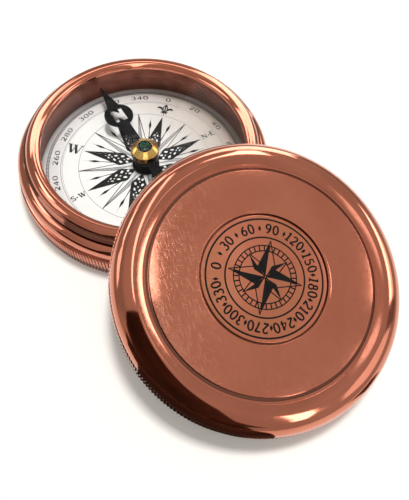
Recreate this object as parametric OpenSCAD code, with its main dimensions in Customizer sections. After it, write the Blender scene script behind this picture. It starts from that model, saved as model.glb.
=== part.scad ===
// Round pocket compass with its screw-on lid taken off.
// The case lies flat on the table, its axis is the Z axis and its underside is at height zero.
// The lid leans in front of it: near edge on the table, far side resting on the case's bezel.
// All lengths are in millimetres, all angles in degrees.

/* [Case] */
// Outer diameter of the case over the knurled band
case_d = 75; // [60:0.5:90]
// Thickness of the case floor
floor_t = 2.3; // [1.4:0.1:3.5]
// Height of the plain bevel round the underside
foot_h = 0.8; // [0.3:0.1:1.5]
// How far the bevel steps in at the underside
foot_in = 0.8; // [0.3:0.1:1.5]
// Height of the turned groove above the knurled band
groove_h = 0.7; // [0.4:0.1:1.2]
// Depth of that groove below the band
groove_in = 0.8; // [0.4:0.1:1.5]
// How far the rounded shoulder lies inside the knurled band
shoulder_in = 0.5; // [0:0.1:1.5]
// Radius of the rounded shoulder's section
shoulder_round = 2.6; // [1.8:0.1:3.2]
// Height of the shoulder above the groove
shoulder_h = 3.9; // [3:0.1:5]
// How far the neck lies inside the shoulder
neck_in = 3.3; // [2.8:0.1:5]
// Height of the neck above the shoulder
neck_h = 2.7; // [2:0.1:4]
// Thickness of the case wall at the neck
wall_t = 1.8; // [1:0.1:3]

/* [Knurling] */
// Number of teeth round the case and the lid
knurl_teeth = 240; // [120:2:300]
// Depth of one tooth
knurl_depth = 0.34; // [0.15:0.01:0.5]

/* [Thread] */
// Depth of the thread on the case neck
thread_depth = 0.8; // [0.4:0.05:1]
// Height of the middle of the lowest ridge above the shoulder
thread_rise = 0.75; // [0.5:0.05:1.2]
// Distance between two thread ridges
thread_pitch = 0.65; // [0.4:0.01:0.8]
// Number of thread ridges on the neck
thread_turns = 3; // [2:1:4]
// Play between the case thread and the lid thread
thread_play = 0.2; // [0.1:0.05:0.4]

/* [Bezel and glass] */
// Width of the bezel ring
bezel_w = 4.0; // [3:0.1:5]
// How far the bezel lies inside the neck
bezel_set = 0.1; // [0:0.05:0.5]
// Height of the bezel's round above its two edges
bezel_crown = 1.12; // [0.6:0.02:1.8]
// Height of the bezel's straight edge above the neck
bezel_edge = 0.18; // [0.05:0.01:0.6]
// Depth of the bezel's skirt inside the neck
bezel_skirt = 0.6; // [0.3:0.1:1.5]
// Thickness of the glass
glass_t = 1.0; // [0.8:0.1:2]
// Play of the glass in the case bore
glass_play = 0.2; // [0.05:0.05:0.4]
// Thickness of the gasket between the glass and the bezel
gasket_t = 0.2; // [0.1:0.05:0.5]
// How far the gasket stays back from the bezel's opening
gasket_back = 0.3; // [0.1:0.1:1]
// Wall thickness of the sleeve that carries the glass
seat_t = 1.0; // [0.6:0.1:1.5]
// Height of the sleeve that carries the glass
seat_h = 3.2; // [1.5:0.1:4]
// Room between the needle's stone and the glass
glass_room = 0.35; // [0.2:0.05:1]

/* [Dial] */
// Play of the dial in the case bore
dial_play = 0.1; // [0.05:0.05:0.4]
// Thickness of the metal plate under the dial
dial_plate_t = 0.85; // [0.5:0.05:1.5]
// Thickness of the printed card
dial_card_t = 0.25; // [0.15:0.05:0.5]

/* [Pivot] */
// Radius of the foot of the pivot post
post_r = 4.15; // [3.5:0.05:5]
// Height of the foot of the pivot post
post_foot_h = 0.8; // [0.4:0.1:1.5]
// Radius of the post above its foot
post_mid_r = 3.3; // [2:0.1:3.5]
// Height of the straight part of the post
post_mid_h = 1.3; // [0.8:0.1:3]
// Height of the cone on top of the post
post_cone_h = 1.2; // [0.5:0.1:2]
// Radius at the top of that cone
post_top_r = 1.5; // [1:0.1:2]
// Radius of the stud that passes through the dial
post_stud_r = 1.6; // [1:0.1:2.5]
// Depth the stud reaches into the case floor
post_stud_in = 1.2; // [0.6:0.1:1.3]
// Radius of the steel pin
pin_r = 0.8; // [0.5:0.05:0.9]
// Depth of the pin inside the post
pin_grip = 2.0; // [1:0.1:3]
// Height of the pin's straight shaft above the post
pin_shaft_h = 2.5; // [2.1:0.1:4]
// Height of the cone of the pin
pin_cone_h = 0.5; // [0.2:0.1:1]
// Radius of the pin's polished tip
pin_tip_r = 0.35; // [0.2:0.01:0.5]
// Height of the pin's polished tip
pin_tip_h = 0.6; // [0.4:0.05:0.9]
// Play between the pin and its bearing, on the radius
pivot_play = 0.05; // [0.02:0.01:0.1]
// Play above the pin's tip in the bearing
pivot_end_play = 0.02; // [0.01:0.01:0.1]

/* [Needle] */
// Compass bearing the needle points to, clockwise seen from above
needle_bearing = -25.1; // [-180:0.1:180]
// Thickness of the needle bar
needle_t = 0.6; // [0.4:0.05:1]
// Room between the north tip and the sleeve round it
needle_room = 0.8; // [0.4:0.1:3]
// Width of the blunt end of the north tip
needle_tip_w = 0.6; // [0.3:0.1:1]
// Width of the needle bar
needle_w = 3.1; // [2.5:0.1:5]
// Distance from the axis to the middle of the pierced disc
disc_x = 17.3; // [15:0.1:20]
// Radius of the pierced disc
disc_r = 4.5; // [4:0.1:5]
// Length of the pierced letter along the needle
letter_l = 5.2; // [3:0.1:6]
// Width of the pierced letter
letter_w = 4.0; // [3:0.1:5]
// Width of the letter's strokes
letter_stroke = 1.3; // [0.8:0.05:1.4]
// Depth of the notches that part the letter's strokes
letter_notch = 1.5; // [1:0.1:2.5]
// Distance from the axis to the end of the south arm
tail_x = 23.5; // [21:0.1:28]
// Distance from the axis to the middle of the tail disc
tail_disc_x = 17.0; // [12:0.1:17.5]
// Radius of the tail disc
tail_disc_r = 3.4; // [2:0.1:4]
// Radius of the black collar under the needle
collar_r = 4.0; // [3:0.1:5]
// Thickness of that collar
collar_t = 0.9; // [0.5:0.1:1.2]
// Radius of the hole through the collar and the needle
hub_hole_r = 1.7; // [1.2:0.1:2.5]

/* [Needle cap] */
// Outer radius of the brass cap
cap_r = 4.1; // [3:0.1:5]
// Height of the cap's straight side
cap_side_h = 2.0; // [1.5:0.1:3]
// Height of the cap's bevel
cap_bevel_h = 1.25; // [0.9:0.05:2]
// Width of the flat lip round the stone
cap_lip_w = 0.35; // [0.2:0.05:0.8]
// Radius of the green stone
stone_r = 2.2; // [1.5:0.05:2.6]
// Depth of the stone's seat
stone_seat = 0.5; // [0.3:0.05:0.8]
// Height of the stone's dome above the lip
stone_rise = 0.5; // [0.3:0.05:1]
// Outer radius of the bearing cup in the cap
cup_r = 1.4; // [1:0.1:2]
// Height of the bearing cup
cup_h = 1.1; // [1:0.1:1.5]
// Height of the room for the pin under the bearing cup
cup_room = 0.9; // [0.5:0.1:1.1]

/* [Lid] */
// Height of the knurled band on the lid
lid_band_h = 7.5; // [5:0.1:9]
// Height of the bevel under the lid's knurled band
lid_foot_h = 0.4; // [0.2:0.1:1]
// Width of the ledge on top of the lid's knurled band
lid_ledge_w = 0.9; // [0.4:0.1:1.5]
// Height of the rounded rim above the knurled band
lid_round = 4.5; // [3.5:0.1:6]
// Width of the rounded rim
lid_rim_w = 6.8; // [5:0.1:8]
// How far the lid's face lies below the crest of the rounded rim
lid_face_in = 0.8; // [0.2:0.1:1.5]
// Width of the turned ring inside the rounded rim
lid_ring_w = 3.0; // [2:0.1:4]
// Depth of the turned ring
lid_ring_in = 0.3; // [0.1:0.05:0.8]
// Width of the bevel between the turned ring and the brushed face
lid_bevel_w = 1.2; // [0.4:0.1:2]
// Distance of the narrow groove from the rounded rim
lid_groove_back = 0.7; // [0.3:0.1:1]
// Width of the narrow groove
lid_groove_w = 0.8; // [0.4:0.1:0.9]
// Depth of the narrow groove below the face
lid_groove_in = 0.7; // [0.4:0.05:0.9]
// Thickness of the lid's face
lid_face_t = 1.3; // [1.2:0.1:2]
// Thickness of the lid's rounded rim
lid_wall_t = 1.5; // [1:0.1:2]
// Depth of the threaded part inside the lid
lid_thread_h = 3.6; // [3:0.1:5]

/* [Lid badge] */
// Radius of the badge in the middle of the lid
badge_r = 16.4; // [12:0.1:20]
// Thickness of the badge
badge_t = 0.5; // [0.3:0.05:0.7]
// How far the badge lies below the lid's face
badge_in = 0.1; // [0:0.05:0.3]
// Width of the bevel round the badge
badge_bevel = 0.3; // [0.1:0.05:0.6]

/* [How the lid lies] */
// Direction in which the lid lies, turned to the right from straight in front of the case
lid_dir = 28.9; // [-60:0.1:60]
// How far the lid's inner edge reaches in over the bezel
lid_overlap = 13.5; // [6:0.1:20]
// Turn of the lid about its own axis
lid_turn = 8; // [-180:1:180]
// Play between the leaning lid and the bezel
lid_play = 0.1; // [0.02:0.01:0.3]
// Play between the leaning lid's foot and the table
table_play = 0.02; // [0.01:0.01:0.1]

/* [Hidden] */
$fn = 96;
case_r = case_d / 2;
// Overrun of cutting shapes past a face
over = wall_t / 2;
band_root_r = case_r - knurl_depth;
// The bevels under the knurled bands end just inside the roots of the teeth
bevel_top_r = band_root_r - knurl_depth / 4;
groove_r = case_r - groove_in;
shoulder_r = case_r - shoulder_in;
shoulder_mid_r = shoulder_r - shoulder_round;
neck_r = shoulder_r - neck_in;
thread_r = neck_r + thread_depth;
bore_r = neck_r - wall_t;
// Heights from the floor up to the glass
dial_plate_z = floor_t;
dial_card_z = dial_plate_z + dial_plate_t;
dial_top_z = dial_card_z + dial_card_t;
stud_z = floor_t - post_stud_in;
post_mid_z = dial_top_z + post_foot_h;
post_cone_z = post_mid_z + post_mid_h;
post_top_z = post_cone_z + post_cone_h;
pin_low_z = post_top_z - pin_grip;
pin_cone_z = post_top_z + pin_shaft_h;
pin_tip_z = pin_cone_z + pin_cone_h;
cup_z = pin_tip_z;
cup_hole_h = pin_tip_h + pivot_end_play;
needle_top_z = cup_z - cup_room;
needle_z = needle_top_z - needle_t;
collar_z = needle_z - collar_t;
cap_bevel_z = needle_top_z + cap_side_h;
cap_top_z = cap_bevel_z + cap_bevel_h;
stone_z = cap_top_z - stone_seat;
dome_r = (stone_r * stone_r + stone_rise * stone_rise) / (2 * stone_rise);
glass_z = cap_top_z + stone_rise + glass_room;
glass_top_z = glass_z + glass_t;
skirt_z = glass_top_z + gasket_t;
seat_z = glass_z - seat_h;
// Heights of the case wall, from its top edge down
neck_top_z = skirt_z + bezel_skirt;
shoulder_top_z = neck_top_z - neck_h;
shoulder_mid_z = shoulder_top_z - shoulder_round;
groove_top_z = shoulder_top_z - shoulder_h;
band_top_z = groove_top_z - groove_h;
thread_z = shoulder_top_z + thread_rise;
ridge_half_share = 0.46;
ridge_sink_share = 0.1;
// The bezel
glass_r = bore_r - glass_play;
dial_r = bore_r - dial_play;
bezel_out_r = neck_r - bezel_set;
bezel_in_r = bezel_out_r - bezel_w;
gasket_in_r = bezel_in_r + gasket_back;
seat_in_r = bore_r - seat_t;
bezel_mid_r = bezel_in_r + bezel_w / 2;
bezel_top_z = neck_top_z + bezel_edge + bezel_crown;
bezel_round = (bezel_w * bezel_w / 4 + bezel_crown * bezel_crown) / (2 * bezel_crown);
bezel_round_z = bezel_top_z - bezel_round;
// The needle's outline
needle_tip_x = seat_in_r - needle_room;
cap_lip_r = stone_r + cap_lip_w;
// How far along the spear its points lie, and how wide it is there
spear_along_shares = [0, 0.12, 0.28, 0.5, 0.75];
spear_width_shares = [1, 0.88, 0.74, 0.5, 0.27];
spear_root_share = 0.9;
spear_half_share = 0.43;
// The lid, in its own frame with the rim at height zero
lid_crest_z = lid_band_h + lid_round;
lid_face_z = lid_crest_z - lid_face_in;
lid_ring_z = lid_face_z - lid_ring_in;
lid_under_z = lid_face_z - lid_face_t;
lid_roll_r = case_r - lid_ledge_w;
lid_round_r = lid_roll_r - lid_round;
lid_step_r = lid_roll_r - lid_rim_w;
lid_bevel_r = lid_step_r - lid_ring_w;
lid_face_r = lid_bevel_r - lid_bevel_w;
lid_groove_r = lid_step_r - lid_groove_back;
lid_in_round = lid_round - lid_wall_t;
lid_relief_r = lid_round_r + lid_in_round;
lid_thread_r = thread_r + thread_play;
lid_ridge_r = neck_r + thread_play;
lid_ridge_z = thread_rise + thread_pitch / 2;
lid_foot_r = band_root_r - lid_foot_h;
badge_seat_z = lid_face_z - badge_in - badge_t;
// The lid's lean: its foot is on the table, its inner edge on the bezel's crest
// The reach is how far up the lean, from the lid's middle, that edge touches the crest
lid_off = bezel_mid_r + lid_thread_r - lid_overlap;
lift_z = bezel_top_z + lid_play - table_play;
function lean_at(reach) = asin(lift_z / (lid_foot_r + reach));
function rise_at(reach) = reach * lift_z / (lid_foot_r + reach);
function reach_at(reach) =
    (lid_off * lid_off + lid_thread_r * lid_thread_r - bezel_mid_r * bezel_mid_r
        - rise_at(reach) * rise_at(reach)) / (2 * lid_off * cos(lean_at(reach)));
function settled(reach, steps) = steps == 0 ? reach : settled(reach_at(reach), steps - 1);
settle_steps = 12;
lid_lean = lean_at(settled(lid_thread_r, settle_steps));
lid_z = lid_foot_r * sin(lid_lean) + table_play;

// The outline of a knurled ring: pointed teeth round a circle
module knurl_outline(teeth, crest_r, root_r) {
    polygon([for (i = [0 : 2 * teeth - 1])
        (i % 2 == 0 ? crest_r : root_r) * [cos(i * 180 / teeth), sin(i * 180 / teeth)]]);
}

// One thread ridge, as half a section beside the axis
module ridge_section(root_r, crest_r, mid_z) {
    polygon([
        [root_r, mid_z - thread_pitch * ridge_half_share],
        [crest_r, mid_z],
        [root_r, mid_z + thread_pitch * ridge_half_share]
    ]);
}

// A plain ring between two radii, as half a section
module ring_section(in_r, out_r, low_z, top_z) {
    translate([in_r, low_z]) square([out_r - in_r, top_z - low_z]);
}

// The case: floor, bored wall, knurled band, groove, round shoulder and threaded neck
module case_bowl() color([0.72, 0.42, 0.32]) {
    difference() {
        union() {
            cylinder(h = foot_h, r1 = band_root_r - foot_in, r2 = bevel_top_r);
            translate([0, 0, foot_h]) linear_extrude(band_top_z - foot_h)
                knurl_outline(knurl_teeth, case_r, band_root_r);
            rotate_extrude() {
                ring_section(0, groove_r, foot_h, groove_top_z);
                ring_section(0, shoulder_mid_r, groove_top_z, shoulder_top_z);
                intersection() {
                    translate([shoulder_mid_r, shoulder_mid_z]) circle(r = shoulder_round);
                    ring_section(0, case_r + over, groove_top_z, shoulder_top_z + over);
                }
                ring_section(0, neck_r, shoulder_mid_z, neck_top_z);
                for (i = [0 : thread_turns - 1])
                    ridge_section(neck_r - thread_depth * ridge_sink_share, thread_r,
                        thread_z + i * thread_pitch);
            }
        }
        translate([0, 0, floor_t]) cylinder(h = neck_top_z, r = bore_r);
        translate([0, 0, stud_z]) cylinder(h = post_stud_in + over, r = post_stud_r);
    }
}

// The rounded ring that holds the glass down, with a skirt inside the neck
module bezel_ring() color([0.74, 0.44, 0.34]) {
    rotate_extrude() {
        intersection() {
            translate([bezel_mid_r, bezel_round_z]) circle(r = bezel_round);
            ring_section(bezel_in_r, bezel_out_r, neck_top_z, bezel_top_z + over);
        }
        ring_section(bezel_in_r, bore_r, skirt_z, neck_top_z + bezel_edge / 2);
    }
}

// The flat glass over the dial
module crystal() color([0.85, 0.92, 0.95, 0.35]) {
    translate([0, 0, glass_z]) cylinder(h = glass_t, r = glass_r);
}

// The thin dark gasket between the glass and the bezel
module crystal_gasket() color([0.1, 0.08, 0.08]) {
    rotate_extrude() ring_section(gasket_in_r, glass_r, glass_top_z, skirt_z);
}

// The sleeve inside the wall that carries the glass
module glass_seat() color([0.7, 0.4, 0.3]) {
    rotate_extrude() ring_section(seat_in_r, bore_r, seat_z, glass_z);
}

// The metal plate under the printed card
module dial_plate() color([0.75, 0.75, 0.76]) {
    difference() {
        translate([0, 0, dial_plate_z]) cylinder(h = dial_plate_t, r = dial_r);
        translate([0, 0, dial_plate_z - over]) cylinder(h = dial_plate_t + 2 * over, r = post_stud_r);
    }
}

// The printed card of the dial
module dial_card() color([0.95, 0.93, 0.9]) {
    difference() {
        translate([0, 0, dial_card_z]) cylinder(h = dial_card_t, r = dial_r);
        translate([0, 0, dial_card_z - over]) cylinder(h = dial_card_t + 2 * over, r = post_stud_r);
    }
}

// The blackened post that stands on the dial and clamps it, with a stud in the floor
module pivot_post() color([0.1, 0.1, 0.11]) {
    difference() {
        union() {
            translate([0, 0, stud_z]) cylinder(h = dial_top_z - stud_z, r = post_stud_r);
            translate([0, 0, dial_top_z]) cylinder(h = post_foot_h, r = post_r);
            translate([0, 0, post_mid_z]) cylinder(h = post_mid_h, r = post_mid_r);
            translate([0, 0, post_cone_z])
                cylinder(h = post_cone_h, r1 = post_mid_r, r2 = post_top_r);
        }
        translate([0, 0, pin_low_z]) cylinder(h = pin_grip + over, r = pin_r);
    }
}

// The steel pin the needle turns on
module pivot_pin() color([0.75, 0.76, 0.78]) {
    translate([0, 0, pin_low_z]) cylinder(h = pin_grip + pin_shaft_h, r = pin_r);
    translate([0, 0, pin_cone_z]) cylinder(h = pin_cone_h, r1 = pin_r, r2 = pin_tip_r);
    translate([0, 0, pin_tip_z]) cylinder(h = pin_tip_h, r = pin_tip_r);
}

// The north end of the needle beyond its disc: a spear with hollow sides
module north_spear() {
    spear_x = disc_x + disc_r * spear_root_share;
    spear_l = needle_tip_x - spear_x;
    spear_half = disc_r * spear_half_share;
    last = len(spear_along_shares) - 1;
    polygon([
        for (i = [0 : last])
            [spear_x + spear_l * spear_along_shares[i], -spear_half * spear_width_shares[i]],
        [needle_tip_x, -needle_tip_w / 2],
        [needle_tip_x, needle_tip_w / 2],
        for (i = [last : -1 : 0])
            [spear_x + spear_l * spear_along_shares[i], spear_half * spear_width_shares[i]]
    ]);
}

// The letter for north as three strokes, its top towards the tip
module north_letter() {
    low_x = disc_x - letter_l / 2;
    top_x = disc_x + letter_l / 2;
    side_y = letter_w / 2;
    translate([low_x, side_y - letter_stroke]) square([letter_l, letter_stroke]);
    translate([low_x, -side_y]) square([letter_l, letter_stroke]);
    polygon([
        [top_x, side_y - letter_stroke],
        [top_x - letter_notch, letter_stroke - side_y],
        [low_x, letter_stroke - side_y],
        [low_x + letter_notch, side_y - letter_stroke]
    ]);
}

// The flat blackened needle with its pierced disc
module needle_bar() color([0.09, 0.09, 0.1]) {
    rotate([0, 0, 90 - needle_bearing]) translate([0, 0, needle_z]) linear_extrude(needle_t)
        difference() {
            union() {
                translate([-tail_disc_x, -needle_w / 2]) square([tail_disc_x + disc_x, needle_w]);
                circle(r = collar_r);
                translate([disc_x, 0]) circle(r = disc_r);
                translate([-tail_disc_x, 0]) circle(r = tail_disc_r);
                north_spear();
                polygon([
                    [-tail_disc_x, -needle_w / 2],
                    [-tail_disc_x, needle_w / 2],
                    [-tail_x, needle_tip_w],
                    [-tail_x, -needle_tip_w]
                ]);
            }
            north_letter();
            circle(r = hub_hole_r);
        }
}

// The black collar under the needle
module needle_collar() color([0.07, 0.07, 0.08]) {
    difference() {
        translate([0, 0, collar_z]) cylinder(h = collar_t, r = collar_r);
        translate([0, 0, collar_z - over]) cylinder(h = collar_t + 2 * over, r = hub_hole_r);
    }
}

// The turned brass cap with its bevel and the stone's seat
module needle_cap() color([0.8, 0.62, 0.25]) {
    difference() {
        union() {
            translate([0, 0, needle_top_z]) cylinder(h = cap_side_h, r = cap_r);
            translate([0, 0, cap_bevel_z]) cylinder(h = cap_bevel_h, r1 = cap_r, r2 = cap_lip_r);
        }
        translate([0, 0, stone_z]) cylinder(h = stone_seat + over, r = stone_r);
        translate([0, 0, needle_top_z - over]) cylinder(h = cup_room + cup_h + over, r = cup_r);
    }
}

// The hard bearing cup pressed into the cap
module needle_cup() color([0.55, 0.1, 0.15]) {
    difference() {
        translate([0, 0, cup_z]) cylinder(h = cup_h, r = cup_r);
        translate([0, 0, cup_z - over]) cylinder(h = cup_hole_h + over, r = pin_tip_r + pivot_play);
    }
}

// The domed green stone on the cap
module cap_stone() color([0.04, 0.25, 0.14]) {
    translate([0, 0, stone_z]) cylinder(h = stone_seat, r = stone_r);
    intersection() {
        translate([0, 0, cap_top_z + stone_rise - dome_r]) sphere(r = dome_r);
        translate([0, 0, cap_top_z - stone_seat / 2])
            cylinder(h = stone_rise + over, r = stone_r);
    }
}

// Puts a piece of the lid where the lid leans
module lid_place() {
    rotate([0, 0, lid_dir]) translate([0, -lid_off, lid_z]) rotate([lid_lean, 0, 0])
        rotate([0, 0, lid_turn]) children();
}

// The lid: knurled band, rounded rim, turned ring, flat face and threaded hollow
module lid_shell() color([0.74, 0.44, 0.34]) {
    lid_place() difference() {
        union() {
            cylinder(h = lid_foot_h, r1 = lid_foot_r, r2 = bevel_top_r);
            translate([0, 0, lid_foot_h]) linear_extrude(lid_band_h - lid_foot_h)
                knurl_outline(knurl_teeth, case_r, band_root_r);
            rotate_extrude() {
                intersection() {
                    translate([lid_round_r, lid_band_h]) circle(r = lid_round);
                    ring_section(lid_step_r, case_r, lid_band_h - lid_foot_h, lid_crest_z + over);
                }
                ring_section(0, lid_step_r, lid_foot_h, lid_ring_z);
                polygon([
                    [0, lid_under_z],
                    [lid_bevel_r, lid_under_z],
                    [lid_bevel_r, lid_ring_z],
                    [lid_face_r, lid_face_z],
                    [0, lid_face_z]
                ]);
            }
        }
        rotate_extrude() {
            ring_section(0, lid_thread_r, -over, lid_thread_h);
            ring_section(0, lid_relief_r, lid_thread_h, lid_band_h);
            intersection() {
                translate([lid_round_r, lid_band_h]) circle(r = lid_in_round);
                ring_section(0, case_r, lid_band_h, lid_under_z);
            }
            ring_section(0, lid_round_r, 0, lid_under_z);
            ring_section(lid_groove_r - lid_groove_w, lid_groove_r, lid_face_z - lid_groove_in, lid_crest_z);
        }
        translate([0, 0, badge_seat_z]) cylinder(h = badge_t + over, r = badge_r);
    }
    lid_place() rotate_extrude()
        for (i = [0 : thread_turns - 1])
            ridge_section(lid_thread_r + thread_depth * ridge_sink_share, lid_ridge_r,
                lid_ridge_z + i * thread_pitch);
}

// The etched disc let into the lid's face
module lid_badge() color([0.7, 0.4, 0.3]) {
    lid_place() translate([0, 0, badge_seat_z]) {
        cylinder(h = badge_t - badge_bevel, r = badge_r);
        translate([0, 0, badge_t - badge_bevel])
            cylinder(h = badge_bevel, r1 = badge_r, r2 = badge_r - badge_bevel);
    }
}

case_bowl();
bezel_ring();
crystal();
crystal_gasket();
glass_seat();
dial_plate();
dial_card();
pivot_post();
pivot_pin();
needle_bar();
needle_collar();
needle_cap();
needle_cup();
cap_stone();
lid_shell();
lid_badge();
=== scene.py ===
# %% [markdown]
# # A pocket compass with its lid taken off
# The real object is a turned copper case with a glazed dial, a pivoting needle and a threaded lid.
# Nearly all of it was made on a lathe, so most pieces here are turned too: a section is drawn beside
# the axis and spun round it. The printed dial and the etched badge are thin layers of ink laid on top.
# Lengths are written in millimetres, as on a drawing, and multiplied by MM when a mesh is made.

# %% Load the measured model
import math

import bmesh
import bpy
from mathutils import Matrix, Vector


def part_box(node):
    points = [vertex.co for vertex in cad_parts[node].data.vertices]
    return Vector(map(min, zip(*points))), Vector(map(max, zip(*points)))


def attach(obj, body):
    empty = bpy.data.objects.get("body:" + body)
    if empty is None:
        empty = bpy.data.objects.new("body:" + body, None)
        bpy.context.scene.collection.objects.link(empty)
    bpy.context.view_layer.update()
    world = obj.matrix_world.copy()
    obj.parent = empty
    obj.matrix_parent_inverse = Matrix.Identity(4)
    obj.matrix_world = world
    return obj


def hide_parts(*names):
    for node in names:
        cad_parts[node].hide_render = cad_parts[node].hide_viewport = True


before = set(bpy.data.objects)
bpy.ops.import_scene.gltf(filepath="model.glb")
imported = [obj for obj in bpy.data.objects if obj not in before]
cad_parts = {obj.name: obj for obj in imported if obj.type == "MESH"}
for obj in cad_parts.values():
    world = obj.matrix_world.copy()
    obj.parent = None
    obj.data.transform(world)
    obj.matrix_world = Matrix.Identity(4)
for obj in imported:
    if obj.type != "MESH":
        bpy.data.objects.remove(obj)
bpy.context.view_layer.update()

MM = 0.001

# %% Read the main sizes from the measured pieces
def node_span(node):
    """Outer radius, lowest and highest point of a round measured piece, in millimetres."""
    low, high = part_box(node)
    return (high[0] - low[0]) / 2 / MM, low[2] / MM, high[2] / MM


case_r, _, neck_top_z = node_span("case_bowl")
bezel_out_r, skirt_z, bezel_top_z = node_span("bezel_ring")
_, glass_z, _ = node_span("crystal")
bore_r, seat_z, seat_top_z = node_span("glass_seat")
_, _, dial_z = node_span("dial_card")
post_r, _, post_top_z = node_span("pivot_post")
cap_r, cap_low_z, cap_top_z = node_span("needle_cap")
stone_r, stone_z, stone_top_z = node_span("cap_stone")
collar_r, collar_z, needle_z = node_span("needle_collar")
print("case radius %.2f, glass from %.2f, dial at %.2f mm" % (case_r, glass_z, dial_z))

# %% [markdown]
# ## The camera
# The picture was taken from above the near side with a short lens. The camera stands in the plane
# through the case's axis, is tipped by its height above the horizon, and is then turned a little,
# because the picture's middle lies between the case and the lid.

# %% Camera
camera_reach = 165.04
camera_height_deg = 53.117
camera_yaw_deg = -5.872
camera_pitch_deg = -9.078
camera_roll_deg = -3.279
sensor_mm = 36.0
lens_mm = 36.906


def turn(degrees, axis):
    """A turn about X, Y or Z as a 4 by 4 matrix."""
    return Matrix.Rotation(math.radians(degrees), 4, axis)


def new_object(name, data):
    """Puts an object in the scene for a mesh, a curve, a lamp or a camera."""
    thing = bpy.data.objects.new(name, data)
    bpy.context.scene.collection.objects.link(thing)
    return thing


camera_data = bpy.data.cameras.new("camera")
camera_data.sensor_fit = "VERTICAL"
camera_data.sensor_height = sensor_mm
camera_data.lens = lens_mm
camera_data.clip_start = 0.005
camera = new_object("camera", camera_data)
height = math.radians(camera_height_deg)
camera_place = Vector((0, -math.cos(height), math.sin(height))) * camera_reach * MM
aim = turn(90 - camera_height_deg, "X") @ turn(camera_yaw_deg, "Y") @ turn(camera_pitch_deg, "X")
camera.matrix_world = Matrix.Translation(camera_place) @ aim @ turn(camera_roll_deg, "Z")
bpy.context.scene.camera = camera
print("camera at", [round(v / MM) for v in camera_place], "mm")

# %% [markdown]
# ## Turning a section into a mesh
# A lathe tool needs a section: points of radius and height. Sharp corners of real metal are broken
# with a file, and that small round is what catches the light, so every corner can carry a rounding.
# Where a section meets the axis, one single point closes the pole.

# %% Helpers for outlines and sections
def on_circle(radius, angle):
    """A point on a circle round the origin, its angle in radians."""
    return radius * math.cos(angle), radius * math.sin(angle)


def bow(mid_x, mid_y, half_w, half_h, start_deg, end_deg, steps=12):
    """Points of an oval stretch of an outline."""
    turns = [math.radians(start_deg + (end_deg - start_deg) * k / steps) for k in range(steps + 1)]
    return [(mid_x + half_w * math.cos(a), mid_y + half_h * math.sin(a)) for a in turns]


def unrounded(points):
    """Section corners without a rounding."""
    return [(r, z, 0) for r, z in points]


def arc(mid_r, mid_z, radius, start_deg, end_deg, steps=24):
    """Corners of a round stretch of a section."""
    return unrounded(bow(mid_r, mid_z, radius, radius, start_deg, end_deg, steps))


def rounded(corners, closed=False, steps=4):
    """Replaces each corner that has a rounding by a short curve."""
    points = []
    count = len(corners)
    for i, (r, z, rounding) in enumerate(corners):
        at = Vector((r, z))
        inner = closed or 0 < i < count - 1
        if not rounding or not inner:
            points.append(at)
            continue
        before = Vector(corners[i - 1][:2]) - at
        after = Vector(corners[(i + 1) % count][:2]) - at
        start = at + before.normalized() * min(rounding, before.length / 2.2)
        end = at + after.normalized() * min(rounding, after.length / 2.2)
        for k in range(steps + 1):
            t = k / steps
            points.append(start * (1 - t) ** 2 + at * 2 * t * (1 - t) + end * t ** 2)
    return points


# %% Helpers for turned pieces
lathe_steps = 288
least_radius = 1e-6


def finished_mesh(name, bm):
    """Turns all faces outwards and writes them to a mesh."""
    bmesh.ops.recalc_face_normals(bm, faces=bm.faces)
    mesh = bpy.data.meshes.new(name)
    bm.to_mesh(mesh)
    bm.free()
    return mesh


def turned_mesh(name, corners, closed=False, steps=lathe_steps, edge_deg=32):
    """Spins a section round the Z axis. An open section starts and ends on the axis."""
    bm = bmesh.new()
    turned_uv = bm.loops.layers.uv.new("turned")
    rings = []
    for p in rounded(corners, closed):
        if p.x < least_radius:
            rings.append([bm.verts.new((0, 0, p.y * MM))])
            continue
        spots = [on_circle(p.x, math.tau * k / steps) for k in range(steps)]
        rings.append([bm.verts.new((x * MM, y * MM, p.y * MM)) for x, y in spots])
    pairs = list(zip(rings, rings[1:]))
    if closed:
        pairs.append((rings[-1], rings[0]))
    for row, (low, top) in enumerate(pairs):
        for k in range(steps):
            n = (k + 1) % steps
            if len(low) == 1:
                across = [low[0], top[n], top[k]]
            elif len(top) == 1:
                across = [low[k], low[n], top[0]]
            else:
                across = [low[k], low[n], top[n], top[k]]
            face = bm.faces.new(across)
            face.smooth = True
            starts = (low[k % len(low)], top[k % len(top)])
            for loop in face.loops:
                share = k / steps if loop.vert in starts else (k + 1) / steps
                loop[turned_uv].uv = (share, row / len(pairs))
    mesh = finished_mesh(name, bm)
    mesh.set_sharp_from_angle(angle=math.radians(edge_deg))
    return mesh


def add_piece(name, mesh, body, finish, stands_for=(), place=None):
    """Puts a finished mesh in the scene, in its finish, on the body that carries it."""
    if place is not None:
        mesh.transform(place)
    mesh.materials.clear()
    mesh.materials.append(finish)
    piece = new_object(name, mesh)
    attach(piece, body)
    if stands_for:
        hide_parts(*stands_for)
    print("%s: %d faces" % (name, len(mesh.polygons)))
    return piece


def add_turned(name, corners, body, slot, finish, stands_for=(), place=None, **turning):
    """Turns a section and puts the piece in the scene."""
    mesh = turned_mesh(name, corners, **turning)
    return add_piece(name, mesh, body, finish, stands_for, place)


# %% [markdown]
# ## Where the lid lies
# The lid is drawn flat round the Z axis, like every other turned piece, and then put where it leans:
# moved out in front of the case, tipped towards it and turned about the case's axis.

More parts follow.
